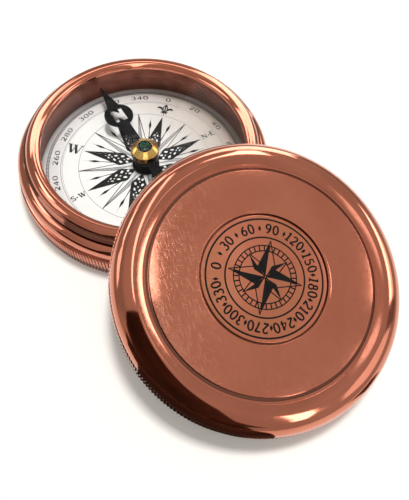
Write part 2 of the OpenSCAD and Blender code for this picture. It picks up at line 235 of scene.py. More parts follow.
# %% The lid's place
lid_off = 52.8
lid_dir_deg = 28.9
lid_lean_deg = 14.208
lid_turn_deg = 8
lid_foot_r = 36.76
table_play = 0.02
lid_z = lid_foot_r * math.sin(math.radians(lid_lean_deg)) + table_play
lid_shift = Matrix.Translation(Vector((0, -lid_off, lid_z)) * MM)
lid_place = turn(lid_dir_deg, "Z") @ lid_shift @ turn(lid_lean_deg, "X") @ turn(lid_turn_deg, "Z")
print("lid's middle at", [round(v / MM, 1) for v in lid_place.translation], "mm")

# %% [markdown]
# ## Finishes
# Each finish is a small node tree. Metal takes its colour from its tint and everything else from what
# it mirrors, so its detail is in the roughness and in very shallow bumps: rings left by the lathe,
# hairline scratches and patches where handling has dulled the polish.

# %% Helpers for node trees
def new_finish(name, **values):
    """A material with one Principled shader. Constant values go on the shader's own sockets."""
    finish = bpy.data.materials.new(name)
    finish.use_nodes = True
    shader = finish.node_tree.nodes["Principled BSDF"]
    for socket, value in values.items():
        shader.inputs[socket.replace("_", " ")].default_value = value
    return finish, finish.node_tree, shader


def add_node(tree, kind, inputs=None, **settings):
    """Adds a node, sets its choices, and fills or links its inputs."""
    node = tree.nodes.new(kind)
    for key, value in settings.items():
        setattr(node, key, value)
    for key, value in (inputs or {}).items():
        if isinstance(value, bpy.types.NodeSocket):
            tree.links.new(value, node.inputs[key])
        else:
            node.inputs[key].default_value = value
    return node


def plug(node, socket, value):
    """Links a value to one of a node's sockets."""
    node.id_data.links.new(value, node.inputs[socket])


def maths(tree, operation, first, second=0.0):
    """Works on one or two numbers."""
    return add_node(tree, "ShaderNodeMath", {0: first, 1: second}, operation=operation).outputs[0]


def along(tree, vector, way):
    """How far a vector reaches along a direction."""
    node = add_node(tree, "ShaderNodeVectorMath", {0: vector, 1: way}, operation="DOT_PRODUCT")
    return node.outputs["Value"]


def object_coordinates(tree, place=None):
    """The piece's own coordinates in metres, or those of a leaning piece as if it lay flat."""
    coordinates = add_node(tree, "ShaderNodeTexCoord").outputs["Object"]
    if place is None:
        return coordinates
    back = place.inverted()
    settings = {"Vector": coordinates, "Location": back.translation, "Rotation": back.to_euler()}
    return add_node(tree, "ShaderNodeMapping", settings).outputs["Vector"]


# %% Helpers for patterns
def noise(tree, vector, scale, detail=2.0, stretch=(1, 1, 1)):
    """Noise of about one patch per 1/scale metres, drawn out along an axis by a small stretch."""
    scaled = add_node(tree, "ShaderNodeVectorMath", {0: vector, 1: stretch}, operation="MULTIPLY")
    inputs = {"Vector": scaled.outputs[0], "Scale": scale, "Detail": detail}
    return add_node(tree, "ShaderNodeTexNoise", inputs).outputs["Fac"]


def spread(tree, value, low, high, from_low=0.3, from_high=0.7):
    """Maps a noise value to a range, cut off at both ends."""
    inputs = {"Value": value, "From Min": from_low, "From Max": from_high, "To Min": low, "To Max": high}
    return add_node(tree, "ShaderNodeMapRange", inputs).outputs["Result"]


def blend_colours(tree, share, first, second):
    """Mixes two colours, or a colour and a socket, by a share."""
    inputs = {"Factor": share}
    for key, value in ((6, first), (7, second)):
        inputs[key] = value if isinstance(value, bpy.types.NodeSocket) else (*value, 1)
    return add_node(tree, "ShaderNodeMix", inputs, data_type="RGBA").outputs[2]


def off_axis(tree, vector):
    """The distance from the Z axis."""
    flat = add_node(tree, "ShaderNodeVectorMath", {0: vector, 1: (1, 1, 0)}, operation="MULTIPLY")
    return add_node(tree, "ShaderNodeVectorMath", {0: flat.outputs[0]}, operation="LENGTH").outputs["Value"]


def sideways(tree, vector, turn_deg):
    """How far a spot lies towards a side, which is given by its turn from +X."""
    return along(tree, vector, (*on_circle(1, math.radians(turn_deg)), 0))


def above(tree, vector):
    """The height of a spot."""
    return add_node(tree, "ShaderNodeSeparateXYZ", {0: vector}).outputs["Z"]


def turned_marks(tree, vector, per_metre):
    """Fine rings round the axis, as a cutter leaves them: noise over radius and height alone."""
    inputs = {"X": off_axis(tree, vector), "Y": above(tree, vector)}
    return noise(tree, add_node(tree, "ShaderNodeCombineXYZ", inputs).outputs[0], per_metre, 3.0)


def add_bump(tree, shader, height, depth_mm, share):
    """Gives the shader shallow relief of that depth."""
    inputs = {"Height": height, "Distance": depth_mm * MM, "Strength": share}
    plug(shader, "Normal", add_node(tree, "ShaderNodeBump", inputs).outputs["Normal"])


# %% [markdown]
# ### Copper
# Polished copper is drawn once, with a light and a dark tint, and used for the case, the bezel and the
# lid's rim. Inside a given radius, in the thread, the grooves and the roots of the knurling, the tint
# turns dark brown: painted shade for the shade that falls in these recesses.

# %% Copper finishes
rim_tint = (0.72, 0.236, 0.140)
rim_worn = (0.63, 0.195, 0.110)
# Dark brown painted shade, for the recesses and for the gap round the badge
recess_shade_tint = (0.26, 0.085, 0.05)


def polished_copper(name, place=None, rough_low=0.05, rough_high=0.11, shade_edge_r=0.0, shade_step=0.3):
    """Turned and polished copper under a clear lacquer, with painted shade: dark brown in the recesses
    inside a radius.
    """
    finish, tree, shader = new_finish(name, Metallic=1.0, Coat_Weight=0.8, Coat_Roughness=0.06)
    where = object_coordinates(tree, place)
    patches = noise(tree, where, 55, 3.0)
    rings = turned_marks(tree, where, 5200)
    scuffs = noise(tree, where, 900, 3.0, (1, 1, 0.35))
    colour = blend_colours(tree, spread(tree, patches, 0, 1, 0.35, 0.65), rim_tint, rim_worn)
    # Painted shade: inside the radius the tint turns dark brown
    unshaded = spread(tree, off_axis(tree, where), 0, 1, (shade_edge_r - shade_step) * MM, shade_edge_r * MM)
    plug(shader, "Base Color", blend_colours(tree, unshaded, recess_shade_tint, colour))
    plug(shader, "Roughness", spread(tree, scuffs, rough_low, rough_high))
    add_bump(tree, shader, rings, 0.004, 0.25)
    return finish


def darkened_copper():
    """The wall under the glass: copper darkened with a thin brown paint that still shines."""
    finish, tree, shader = new_finish("darkened_copper", Metallic=0.95, Coat_Weight=0.1, Coat_Roughness=0.3)
    where = object_coordinates(tree)
    tone = spread(tree, noise(tree, where, 240, 3.0), 0, 1)
    plug(shader, "Base Color", blend_colours(tree, tone, (0.25, 0.082, 0.052), (0.15, 0.046, 0.028)))
    plug(shader, "Roughness", spread(tree, turned_marks(tree, where, 4200), 0.30, 0.42))
    return finish


case_copper = polished_copper("case_copper")
# Painted shade: the neck and thread, the knurls' roots and the lid's groove lie inside the shade radius
bowl_copper = polished_copper("bowl_copper", shade_edge_r=35.0, shade_step=0.5)
knurl_copper = polished_copper("knurl_copper", None, 0.12, 0.2, case_r - 0.05, 0.3)
rim_copper = polished_copper("lid_copper", lid_place, 0.08, 0.14, 29.2, 0.1)
lid_knurl_copper = polished_copper("lid_knurl_copper", lid_place, 0.12, 0.2, case_r - 0.05, 0.3)
wall_copper = darkened_copper()
print("copper finishes:", [finish.name for finish in bpy.data.materials])

# %% [markdown]
# ### Brass, blackened steel and stone
# The cap is turned brass, its side under the bevel painted dark brown as a painted reflection of the
# black needle. Its rings run round it, and such a grain stretches each highlight across the rings, so
# the shader's grain is turned by a quarter. The needle and its post are blackened, which leaves a satin
# surface with a few rubbed spots. The stone is a small green dome, darkened by painted shade near its edge.

# %% Brass, steel and stone
cap_bevel_z = 10.8


def turned_brass():
    """Yellow brass straight from the lathe, with its rings. The side under the bevel is painted dark brown,
    a painted reflection of the black needle.
    """
    grain = {"Roughness": 0.2, "Anisotropic": 0.85, "Anisotropic_Rotation": 0.25}
    finish, tree, shader = new_finish("turned_brass", Metallic=1.0, **grain)
    where = object_coordinates(tree)
    tone = spread(tree, noise(tree, where, 400), 0, 1)
    unshaded = blend_colours(tree, tone, (0.96, 0.62, 0.19), (0.88, 0.52, 0.14))
    # Painted reflection: under the bevel the brass turns dark brown, standing in for the black needle it
    # mirrors
    below = spread(tree, above(tree, where), 1, 0, (cap_bevel_z - 0.25) * MM, (cap_bevel_z - 0.05) * MM)
    plug(shader, "Base Color", blend_colours(tree, below, unshaded, (0.20, 0.09, 0.02)))
    around = add_node(tree, "ShaderNodeTangent", direction_type="UV_MAP", uv_map="turned")
    plug(shader, "Tangent", around.outputs[0])
    add_bump(tree, shader, turned_marks(tree, where, 7000), 0.002, 0.15)
    return finish


def blackened_steel():
    """Oiled black on steel, rubbed a little here and there."""
    finish, tree, shader = new_finish("blackened_steel", Specular_IOR_Level=0.12)
    where = object_coordinates(tree)
    rubbed = spread(tree, noise(tree, where, 420, 4.0), 0, 1, 0.45, 0.75)
    plug(shader, "Base Color", blend_colours(tree, rubbed, (0.004, 0.004, 0.005), (0.011, 0.010, 0.010)))
    plug(shader, "Roughness", spread(tree, noise(tree, where, 1500), 0.28, 0.44))
    add_bump(tree, shader, noise(tree, where, 2600, 3.0), 0.01, 0.3)
    return finish


def green_stone():
    """A dark green polished stone, with painted shade making it darker near its edge, where it sits in the
    cap.
    """
    finish, tree, shader = new_finish("green_stone", Roughness=0.1, Specular_IOR_Level=0.3)
    where = object_coordinates(tree)
    # Painted shade: the stone darkens towards its edge, where the cap's lip shades it
    edge = spread(tree, off_axis(tree, where), 0, 1, stone_r * 0.62 * MM, stone_r * 0.9 * MM)
    cloud = spread(tree, noise(tree, where, 900, 2.0), 0, 1)
    deep = blend_colours(tree, cloud, (0.001, 0.013, 0.006), (0.003, 0.032, 0.015))
    plug(shader, "Base Color", blend_colours(tree, edge, deep, (0.001, 0.004, 0.003)))
    return finish


brass = turned_brass()
black_steel = blackened_steel()
stone_green = green_stone()
print("small finishes:", brass.name, black_steel.name, stone_green.name)

# %% [markdown]
# ### Glass, inks and hidden metal
# Real window glass bends light more than the glass here does. A low index keeps the print under it
# where the eye expects it, and light for the dial passes straight through. Inks and hidden pieces are
# quiet finishes of two near tones.

# %% Glass and quiet finishes
def clear_glass():
    """Flat window glass. Direct light passes it, so that the dial under it stays bright."""
    finish, tree, shader = new_finish("clear_glass", Transmission_Weight=1.0, Roughness=0.01, IOR=1.15)
    shader.inputs["Base Color"].default_value = (0.97, 0.985, 0.98, 1)
    shadow = add_node(tree, "ShaderNodeLightPath").outputs["Is Shadow Ray"]
    clear = add_node(tree, "ShaderNodeBsdfTransparent").outputs[0]
    mixed = add_node(tree, "ShaderNodeMixShader", {0: shadow, 1: shader.outputs[0], 2: clear})
    plug(tree.nodes["Material Output"], "Surface", mixed.outputs[0])
    return finish


def plain(name, first, second, roughness, scale=600, metallic=0.0):
    """A quiet finish of two near tones."""
    values = {"Metallic": metallic, "Roughness": roughness, "Specular_IOR_Level": 0.25}
    finish, tree, shader = new_finish(name, **values)
    where = object_coordinates(tree)
    tone = spread(tree, noise(tree, where, scale, 3.0), 0, 1)
    plug(shader, "Base Color", blend_colours(tree, tone, first, second))
    add_bump(tree, shader, noise(tree, where, scale * 4, 2.0), 0.01, 0.2)
    return finish


glass = clear_glass()
black_ink = plain("black_ink", (0.003, 0.003, 0.003), (0.009, 0.008, 0.008), 0.6, 1500)
grey_ink = plain("grey_ink", (0.22, 0.21, 0.21), (0.40, 0.38, 0.38), 0.6, 2600)
line_ink = plain("line_ink", (0.20, 0.185, 0.19), (0.30, 0.28, 0.285), 0.6, 1500)
band_ink = plain("band_ink", (0.075, 0.06, 0.065), (0.11, 0.095, 0.1), 0.6, 1500)
fine_ink = plain("fine_ink", (0.035, 0.032, 0.034), (0.07, 0.065, 0.066), 0.6, 1500)
white_ink = plain("white_ink", (0.78, 0.76, 0.74), (0.68, 0.66, 0.64), 0.6, 1500)
etch_black = plain("etch_black", (0.002, 0.002, 0.002), (0.006, 0.005, 0.005), 0.6, 2500)
pin_steel = plain("pin_steel", (0.60, 0.60, 0.62), (0.5, 0.5, 0.52), 0.2, 900, 1.0)
plate_metal = plain("plate_metal", (0.55, 0.55, 0.56), (0.48, 0.48, 0.5), 0.4, 300, 1.0)
gasket_rubber = plain("gasket_rubber", (0.02, 0.014, 0.012), (0.03, 0.02, 0.018), 0.6, 900)
cup_jewel = plain("cup_jewel", (0.35, 0.04, 0.08), (0.28, 0.03, 0.06), 0.15, 900)
print("finishes so far:", len(bpy.data.materials))

# %% [markdown]
# ### The dial's paper
# The card is white paper. Painted shade makes it a little greyer in the ring of figures, next to the wall,
# and darker and warmer towards one side, where the wall's shadow falls. Both changes follow the card's own
# coordinates, so they stay with it from every side.

# %% Dial paper
shaded_side_deg = 30
ring_from_r = 25.8
ring_full_r = 26.8


def dial_paper():
    """White printed card, with painted shade: greyer in the ring of figures and darker and warmer towards
    one side.
    """
    finish, tree, shader = new_finish("dial_paper", Roughness=0.6, Specular_IOR_Level=0.25)
    where = object_coordinates(tree)
    # Painted shade: the ring next to the wall is greyer
    outer = spread(tree, off_axis(tree, where), 0, 1, ring_from_r * MM, ring_full_r * MM)
    fibre = spread(tree, noise(tree, where, 1800, 4.0), 0, 0.5)
    inside = blend_colours(tree, fibre, (0.72, 0.70, 0.68), (0.66, 0.64, 0.62))
    ring_shaded = blend_colours(tree, outer, inside, (0.60, 0.57, 0.56))
    # Painted shade: the card darkens and warms towards the side where the wall's shadow falls
    side_shade = spread(tree, sideways(tree, where, shaded_side_deg), 0, 1, 2 * MM, 34 * MM)
    plug(shader, "Base Color", blend_colours(tree, side_shade, ring_shaded, (0.30, 0.22, 0.17)))
    add_bump(tree, shader, noise(tree, where, 3000, 3.0), 0.01, 0.25)
    return finish


card_paper = dial_paper()
# The side towards which painted shade darkens the card
print("the card browns towards", shaded_side_deg, "degrees from +X")

# %% [markdown]
# ### The lid's face
# The face is polished like the rim but has been rubbed in use. Short hairline scratches cross it in two
# directions. They are densest in a worn crescent along one side, and there a paler, less metallic colour
# is a painted sheen for the light they catch. Each set is noise drawn out along one axis, of which only
# the highest crests show.

# %% Rubbed face and etched badge
worn_sheen_side_deg = 143
worn_sheen_band_r = 25.9
gap_mid_r = 16.25
face_tint = (0.80, 0.268, 0.165)
face_worn = (0.74, 0.236, 0.140)
badge_tint = (0.70, 0.25, 0.13)
scratch_sheen_tint = (0.92, 0.44, 0.31)


def hairlines(tree, where, lean_deg, scale, low, high):
    """Sparse short scratches that lean by an angle: 0 where there is none, 1 in the middle of one."""
    inputs = {"Vector": where, "Rotation": (0, 0, math.radians(lean_deg))}
    leaning = add_node(tree, "ShaderNodeMapping", inputs).outputs[0]
    return spread(tree, noise(tree, leaning, scale, 1.0, (1, 0.07, 1)), 0, 1, low, high)


def scratches(tree, where):
    """The share of scratches and of their painted sheen: hairlines on one side and a rubbed band by the
    groove.
    """
    # Painted sheen: both sets are strongest towards one side, where the scratches catch the light
    across = sideways(tree, where, worn_sheen_side_deg)
    groove_side = spread(tree, off_axis(tree, where), 0, 1, worn_sheen_band_r * MM, (worn_sheen_band_r + 0.5) * MM)
    band = maths(tree, "MULTIPLY", groove_side, spread(tree, across, 0, 1, 15 * MM, 23 * MM))
    grains = spread(tree, noise(tree, where, 2600, 3.0), 0, 0.4, 0.45, 0.7)
    rubbed = maths(tree, "MULTIPLY", band, grains)
    lines = hairlines(tree, where, 24, 5600, 0.60, 0.68)
    crossing = hairlines(tree, where, -38, 5000, 0.62, 0.70)
    side = spread(tree, across, 0.1, 0.65, 8 * MM, 27 * MM)
    thin = maths(tree, "MULTIPLY", maths(tree, "MAXIMUM", lines, crossing), side)
    return maths(tree, "MAXIMUM", rubbed, thin)


def rubbed_copper(name, tint, worn, rough_low, rough_high):
    """Polished copper with scratches that carry a painted sheen, and painted shade in the gap round the
    badge.
    """
    finish, tree, shader = new_finish(name, Coat_Weight=0.3, Coat_Roughness=0.15)
    where = object_coordinates(tree, lid_place)
    patches = spread(tree, noise(tree, where, 70, 4.0), 0, 1, 0.35, 0.65)
    scratch_sheen_share = scratches(tree, where)
    # Painted sheen: scratched metal gets a paler tint, so that it looks lit
    scored = blend_colours(tree, scratch_sheen_share, blend_colours(tree, patches, tint, worn), scratch_sheen_tint)
    # Painted shade: the gap round the badge gets the dark brown recess tint
    off_gap = maths(tree, "ABSOLUTE", maths(tree, "SUBTRACT", off_axis(tree, where), gap_mid_r * MM))
    unshaded = spread(tree, off_gap, 0, 1, 0.2 * MM, 0.3 * MM)
    plug(shader, "Base Color", blend_colours(tree, unshaded, recess_shade_tint, scored))
    # Painted sheen: the scratches are half matte, so that they pick up the lamp like lit metal
    plug(shader, "Metallic", spread(tree, scratch_sheen_share, 1, 0.5, 0, 1))
    smooth = spread(tree, noise(tree, where, 900, 3.0), rough_low, rough_high)
    rough = add_node(tree, "ShaderNodeMix", {0: scratch_sheen_share, 2: smooth, 3: 0.4}, data_type="FLOAT")
    plug(shader, "Roughness", rough.outputs[0])
    add_bump(tree, shader, scratch_sheen_share, 0.008, 0.4)
    return finish


face_copper = rubbed_copper("face_copper", face_tint, face_worn, 0.09, 0.14)
badge_copper = rubbed_copper("badge_copper", badge_tint, face_worn, 0.3, 0.38)
# The side where the worn scratches carry a painted sheen
print("the face is worn towards", worn_sheen_side_deg, "degrees from +X")

# %% [markdown]
# ## The case
# One turned piece: flat underside, knurled band, groove, round shoulder, threaded neck, and the bore
# that holds everything else. The thread shows as three fine ridges under the bezel.

# %% Case bowl
tooth_depth = 0.34
band_root_r = case_r - tooth_depth
band_top_z = 7.4
foot_h = 0.8
groove_r = 36.7
groove_top_z = 8.1
shoulder_round = 2.6
shoulder_r = 37.0
shoulder_top_z = 12.0
neck_r = 33.7
thread_r = 34.5
thread_z = 12.75
thread_pitch = 0.65
thread_turns = 3
ridge_half = 0.3
wall_r = bore_r
floor_z = 2.3


def thread_ridges(root_r, crest_r, first_z):
    """Corners of the ridges of a thread, from the lowest up."""
    corners = []
    for i in range(thread_turns):
        mid = first_z + i * thread_pitch
        corners += [(root_r, mid - ridge_half, 0.05), (crest_r, mid, 0.16), (root_r, mid + ridge_half, 0.05)]
    return corners


shoulder_mid_r = shoulder_r - shoulder_round
shoulder_mid_z = shoulder_top_z - shoulder_round
shoulder_low_deg = math.degrees(math.asin((groove_top_z - shoulder_mid_z) / shoulder_round))
case_section = [(0, 0, 0), (band_root_r - foot_h, 0, 0.3), (band_root_r, foot_h, 0.2)]
case_section += [(band_root_r, band_top_z, 0.12), (groove_r, band_top_z, 0.1), (groove_r, groove_top_z, 0.1)]
case_section += arc(shoulder_mid_r, shoulder_mid_z, shoulder_round, shoulder_low_deg, 90)
case_section += [(neck_r, shoulder_top_z, 0.15)] + thread_ridges(neck_r, thread_r, thread_z)
case_section += [(neck_r, neck_top_z, 0.1), (wall_r, neck_top_z, 0.05)]
case_section += [(wall_r, floor_z, 0.2), (0, floor_z, 0)]
add_turned("case_bowl_turned", case_section, "case", "copper_case", bowl_copper, ["case_bowl"])

# %% [markdown]
# ## Knurling by Geometry Nodes
# A knurling wheel presses the same tooth again and again round the band. One small tooth is modelled
# at its real radius, and a node tree turns copies of it about the axis, an even step apart. The same
# tree later sets out everything that repeats round the dial.

# %% A node tree that repeats a piece round the axis
def ring_tree():
    """Copies of one object turned about Z: how many, the first copy's turn and the finish are inputs."""
    tree = bpy.data.node_groups.new("repeat_round_axis", "GeometryNodeTree")
    face = tree.interface
    face.new_socket("Geometry", in_out="OUTPUT", socket_type="NodeSocketGeometry")
    kinds = {"Piece": "Object", "Copies": "Int", "First turn": "Float", "Finish": "Material"}
    for name, kind in kinds.items():
        face.new_socket(name, in_out="INPUT", socket_type="NodeSocket" + kind)
    given = add_node(tree, "NodeGroupInput").outputs
    points = add_node(tree, "GeometryNodePoints", {"Count": given["Copies"]}).outputs[0]
    share = maths(tree, "DIVIDE", add_node(tree, "GeometryNodeInputIndex").outputs[0], given["Copies"])
    angle = maths(tree, "ADD", maths(tree, "MULTIPLY", share, math.tau), given["First turn"])
    euler = add_node(tree, "ShaderNodeCombineXYZ", {"Z": angle}).outputs[0]
    rotation = add_node(tree, "FunctionNodeEulerToRotation", {0: euler}).outputs[0]
    piece = add_node(tree, "GeometryNodeObjectInfo", {"Object": given["Piece"]}).outputs["Geometry"]
    settings = {"Points": points, "Instance": piece, "Rotation": rotation}
    copies = add_node(tree, "GeometryNodeInstanceOnPoints", settings).outputs[0]
    solid = add_node(tree, "GeometryNodeRealizeInstances", {0: copies}).outputs[0]
    coated = add_node(tree, "GeometryNodeSetMaterial", {0: solid, "Material": given["Finish"]}).outputs[0]
    plug(add_node(tree, "NodeGroupOutput"), 0, coated)
    return tree


round_axis = ring_tree()
print("node tree:", round_axis.name, "with", len(round_axis.nodes), "nodes")


def repeated_mesh(name, piece_mesh, copies, finish, first_turn_deg=0.0):
    """Runs the tree on one piece and returns the result as a plain mesh."""
    piece = new_object(name + "_one", piece_mesh)
    carrier = new_object(name + "_all", bpy.data.meshes.new(name))
    modifier = carrier.modifiers.new("repeat", "NODES")
    modifier.node_group = round_axis
    values = {"Piece": piece, "Copies": copies, "First turn": math.radians(first_turn_deg), "Finish": finish}
    for item in round_axis.interface.items_tree:
        if item.in_out == "INPUT":
            modifier[item.identifier] = values[item.name]
    seen = bpy.context.evaluated_depsgraph_get()
    result = bpy.data.meshes.new_from_object(carrier.evaluated_get(seen))
    result.name = name
    carrier.modifiers.remove(modifier)
    for thing in (piece, carrier):
        bpy.data.objects.remove(thing)
    return result


# %% Knurled bands of the case and the lid
teeth = 240


def tooth_mesh(low_z, top_z):
    """One rounded tooth, standing on the band, its ends filed off."""
    half_w = math.pi * case_r / teeth * 0.92
    shape_shares = [(-1, 0), (-0.5, 0.72), (0, 1), (0.5, 0.72), (1, 0)]
    end_slope = 0.25
    sink = 0.05
    bm = bmesh.new()
    rows = []
    for z, inset in ((low_z, 1), (top_z, -1)):
        row = []
        for across, out in shape_shares:
            r = band_root_r - sink + (tooth_depth + sink) * out
            row.append(bm.verts.new((r * MM, across * half_w * MM, (z + inset * end_slope * out) * MM)))
        rows.append(row)
    low, top = rows
    for k in range(len(low) - 1):
        bm.faces.new([low[k], low[k + 1], top[k + 1], top[k]]).smooth = True
    bm.faces.new([low[-1], low[0], top[0], top[-1]])
    bm.faces.new(low)
    bm.faces.new(top)
    return finished_mesh("tooth", bm)


case_teeth = repeated_mesh("case_knurling", tooth_mesh(foot_h, band_top_z), teeth, knurl_copper)
add_piece("case_knurling", case_teeth, "case", knurl_copper)

# %% [markdown]
# ## Bezel, glass seat and glass
# The bezel is a ring with a round top that holds the glass down. Under the glass sits a short sleeve,
# which shows as a band at the top of the dark wall. The wall's dark paint is a thin lining, because
# one finish can't show bright outside and dark inside.

# %% Bezel and seat
bezel_in_r = 29.6
bezel_mid_r = (bezel_in_r + bezel_out_r) / 2
bezel_edge_z = neck_top_z + 0.18
bezel_crown = bezel_top_z - bezel_edge_z
bezel_half_w = (bezel_out_r - bezel_in_r) / 2
bezel_round = (bezel_half_w ** 2 + bezel_crown ** 2) / (2 * bezel_crown)
bezel_low_deg = math.degrees(math.acos(bezel_half_w / bezel_round))
bezel_mid_z = bezel_top_z - bezel_round
bezel_section = arc(bezel_mid_r, bezel_mid_z, bezel_round, bezel_low_deg, 180 - bezel_low_deg, 32)
bezel_section += [(bezel_in_r, skirt_z, 0.15), (wall_r, skirt_z, 0.02), (wall_r, neck_top_z, 0)]
bezel_section += [(bezel_out_r, neck_top_z, 0.02)]
add_turned("bezel_turned", bezel_section, "case", "copper_case", case_copper, ["bezel_ring"],
           closed=True)

seat_in_r = 30.9
seat_section = [(seat_in_r, seat_z, 0.2), (wall_r, seat_z, 0)]
seat_section += [(wall_r, seat_top_z, 0), (seat_in_r, seat_top_z, 0.1)]
add_turned("glass_seat_turned", seat_section, "case", "dark_copper", wall_copper, ["glass_seat"],
           closed=True)

liner_t = 0.05
liner_in_r = wall_r - liner_t
liner_section = unrounded([(liner_in_r, dial_z), (wall_r, dial_z), (wall_r, seat_z), (liner_in_r, seat_z)])
add_turned("dark_wall", liner_section, "case", "dark_copper", wall_copper, closed=True)

# %% [markdown]
# ## Ink
# Print and etching are drawn as thin flat shapes with a real, tiny thickness. A stroke is a ribbon
# along a path. A pen with a broad nib makes upright strokes thick and level ones thin, and the serif
# letters and figures here are drawn by that rule.

# %% Helpers for drawn points
def spin_points(points, bearing_deg):
    """Turns drawn points clockwise about the axis."""
    c, s = on_circle(1, math.radians(-bearing_deg))
    return [(x * c - y * s, x * s + y * c) for x, y in points]


def shifted(points, by):
    """Moves drawn points."""
    return [(x + by[0], y + by[1]) for x, y in points]


def polar(radius, bearing_deg, north_deg=0.0):
    """A point at a compass bearing, clockwise from north. North itself is turned clockwise from +Y."""
    return on_circle(radius, math.radians(90 - bearing_deg - north_deg))


# %% Ink
class Ink:
    """Collects flat shapes at one height and turns them into one closed mesh."""

    def __init__(self, low_z, thickness=0.012):
        self.bm = bmesh.new()
        self.low = low_z * MM
        self.top = (low_z + thickness) * MM

    def shape(self, outline):
        """A filled outline, given as points in millimetres."""
        low = [self.bm.verts.new((x * MM, y * MM, self.low)) for x, y in outline]
        top = [self.bm.verts.new((x * MM, y * MM, self.top)) for x, y in outline]
        self.bm.faces.new(top)
        self.bm.faces.new(low[::-1])
        for k in range(len(low)):
            n = (k + 1) % len(low)
            self.bm.faces.new([low[k], low[n], top[n], top[k]])

    def ribbon(self, path, widths, closed=False):
        """A stroke along a path with its own width at each point."""
        count = len(path)
        rows = []
        for k, (x, y) in enumerate(path):
            before = path[k - 1] if closed or k else path[0]
            after = path[(k + 1) % count] if closed or k < count - 1 else path[-1]
            ahead = Vector((after[0] - before[0], after[1] - before[1])).normalized()
            side = Vector((-ahead.y, ahead.x)) * widths[k] / 2
            left, right = (x + side.x, y + side.y), (x - side.x, y - side.y)
            corners = [(*left, self.top), (*right, self.top), (*right, self.low), (*left, self.low)]
            rows.append([self.bm.verts.new((a * MM, b * MM, z)) for a, b, z in corners])
        pairs = list(zip(rows, rows[1:]))
        if closed:
            pairs.append((rows[-1], rows[0]))
        for one, two in pairs:
            for k in range(4):
                n = (k + 1) % 4
                self.bm.faces.new([one[k], one[n], two[n], two[k]])
        if not closed:
            self.bm.faces.new(rows[0])
            self.bm.faces.new(rows[-1])

    def circle(self, radius, width, steps=180):
        """A thin printed circle round the axis."""
        path = [on_circle(radius, math.tau * k / steps) for k in range(steps)]
        self.ribbon(path, [width] * steps, closed=True)

    def mesh(self, name):
        """The finished ink."""
        return finished_mesh(name, self.bm)


# %% Letters and figures
# Each sign is drawn in a box of height 1: (kind of stroke, points), and last its width
SIGNS = {
    "0": ([("pen", bow(0.31, 0.5, 0.25, 0.46, 0, 360, 20))], 0.62),
    "1": ([("stem", [(0.26, 0.02), (0.26, 0.97)]), ("hair", [(0.08, 0.8), (0.26, 0.95)]),
           ("hair", [(0.08, 0.03), (0.44, 0.03)])], 0.5),
    "2": ([("pen", bow(0.29, 0.72, 0.22, 0.24, 165, -40) + [(0.07, 0.06)]),
           ("stem", [(0.05, 0.06), (0.55, 0.06)])], 0.6),
    "3": ([("pen", bow(0.27, 0.75, 0.19, 0.21, 150, -90)),
           ("pen", bow(0.27, 0.28, 0.24, 0.26, 90, -150))], 0.58),
    "4": ([("thick", [(0.44, 0.95), (0.05, 0.34)]), ("thick", [(0.0, 0.31), (0.62, 0.31)]),
           ("stem", [(0.44, 0.02), (0.44, 0.97)])], 0.64),
    "5": ([("hair", [(0.12, 0.95), (0.5, 0.95)]), ("hair", [(0.14, 0.95), (0.1, 0.55)]),
           ("pen", bow(0.26, 0.31, 0.26, 0.28, 120, -150))], 0.6),
    "6": ([("pen", bow(0.31, 0.29, 0.23, 0.26, 0, 360, 16)),
           ("pen", bow(0.5, 0.29, 0.42, 0.66, 178, 100))], 0.62),
    "7": ([("stem", [(0.04, 0.94), (0.56, 0.94)]),
           ("pen", [(0.55, 0.93), (0.36, 0.55), (0.24, 0.02)])], 0.58),
    "8": ([("pen", bow(0.3, 0.75, 0.18, 0.21, 0, 360, 16)),
           ("pen", bow(0.3, 0.28, 0.24, 0.27, 0, 360, 16))], 0.6),
    "9": ([("pen", bow(0.3, 0.71, 0.23, 0.26, 0, 360, 16)),
           ("pen", bow(0.11, 0.71, 0.42, 0.66, -2, -80))], 0.62),
    "N": ([("hair", [(0.13, 0.02), (0.13, 0.98)]), ("stem", [(0.13, 0.97), (0.82, 0.03)]),
           ("hair", [(0.82, 0.02), (0.82, 0.98)]), ("hair", [(0, 0.98), (0.26, 0.98)]),
           ("hair", [(0.68, 0.98), (0.96, 0.98)]), ("hair", [(0, 0.02), (0.27, 0.02)])], 0.98),
    "E": ([("stem", [(0.16, 0.02), (0.16, 0.98)]), ("hair", [(0.02, 0.98), (0.7, 0.98)]),
           ("hair", [(0.16, 0.51), (0.54, 0.51)]), ("hair", [(0.02, 0.02), (0.72, 0.02)]),
           ("hair", [(0.7, 0.98), (0.7, 0.8)]), ("hair", [(0.72, 0.02), (0.72, 0.22)]),
           ("hair", [(0.54, 0.4), (0.54, 0.62)])], 0.76),
    "S": ([("pen", bow(0.34, 0.74, 0.24, 0.23, 25, 262) + bow(0.34, 0.26, 0.27, 0.24, 82, -155)),
           ("hair", [(0.58, 0.98), (0.58, 0.78)]), ("hair", [(0.07, 0.02), (0.07, 0.24)])], 0.68),
    "W": ([("stem", [(0.12, 0.98), (0.4, 0.02)]), ("hair", [(0.4, 0.02), (0.64, 0.98)]),
           ("stem", [(0.56, 0.98), (0.84, 0.02)]), ("hair", [(0.84, 0.02), (1.1, 0.98)]),
           ("hair", [(-0.04, 0.98), (0.3, 0.98)]), ("hair", [(0.44, 0.98), (0.74, 0.98)]),
           ("hair", [(0.96, 0.98), (1.24, 0.98)])], 1.2),
    "-": ([("stem", [(0.06, 0.42), (0.34, 0.42)])], 0.4),
}

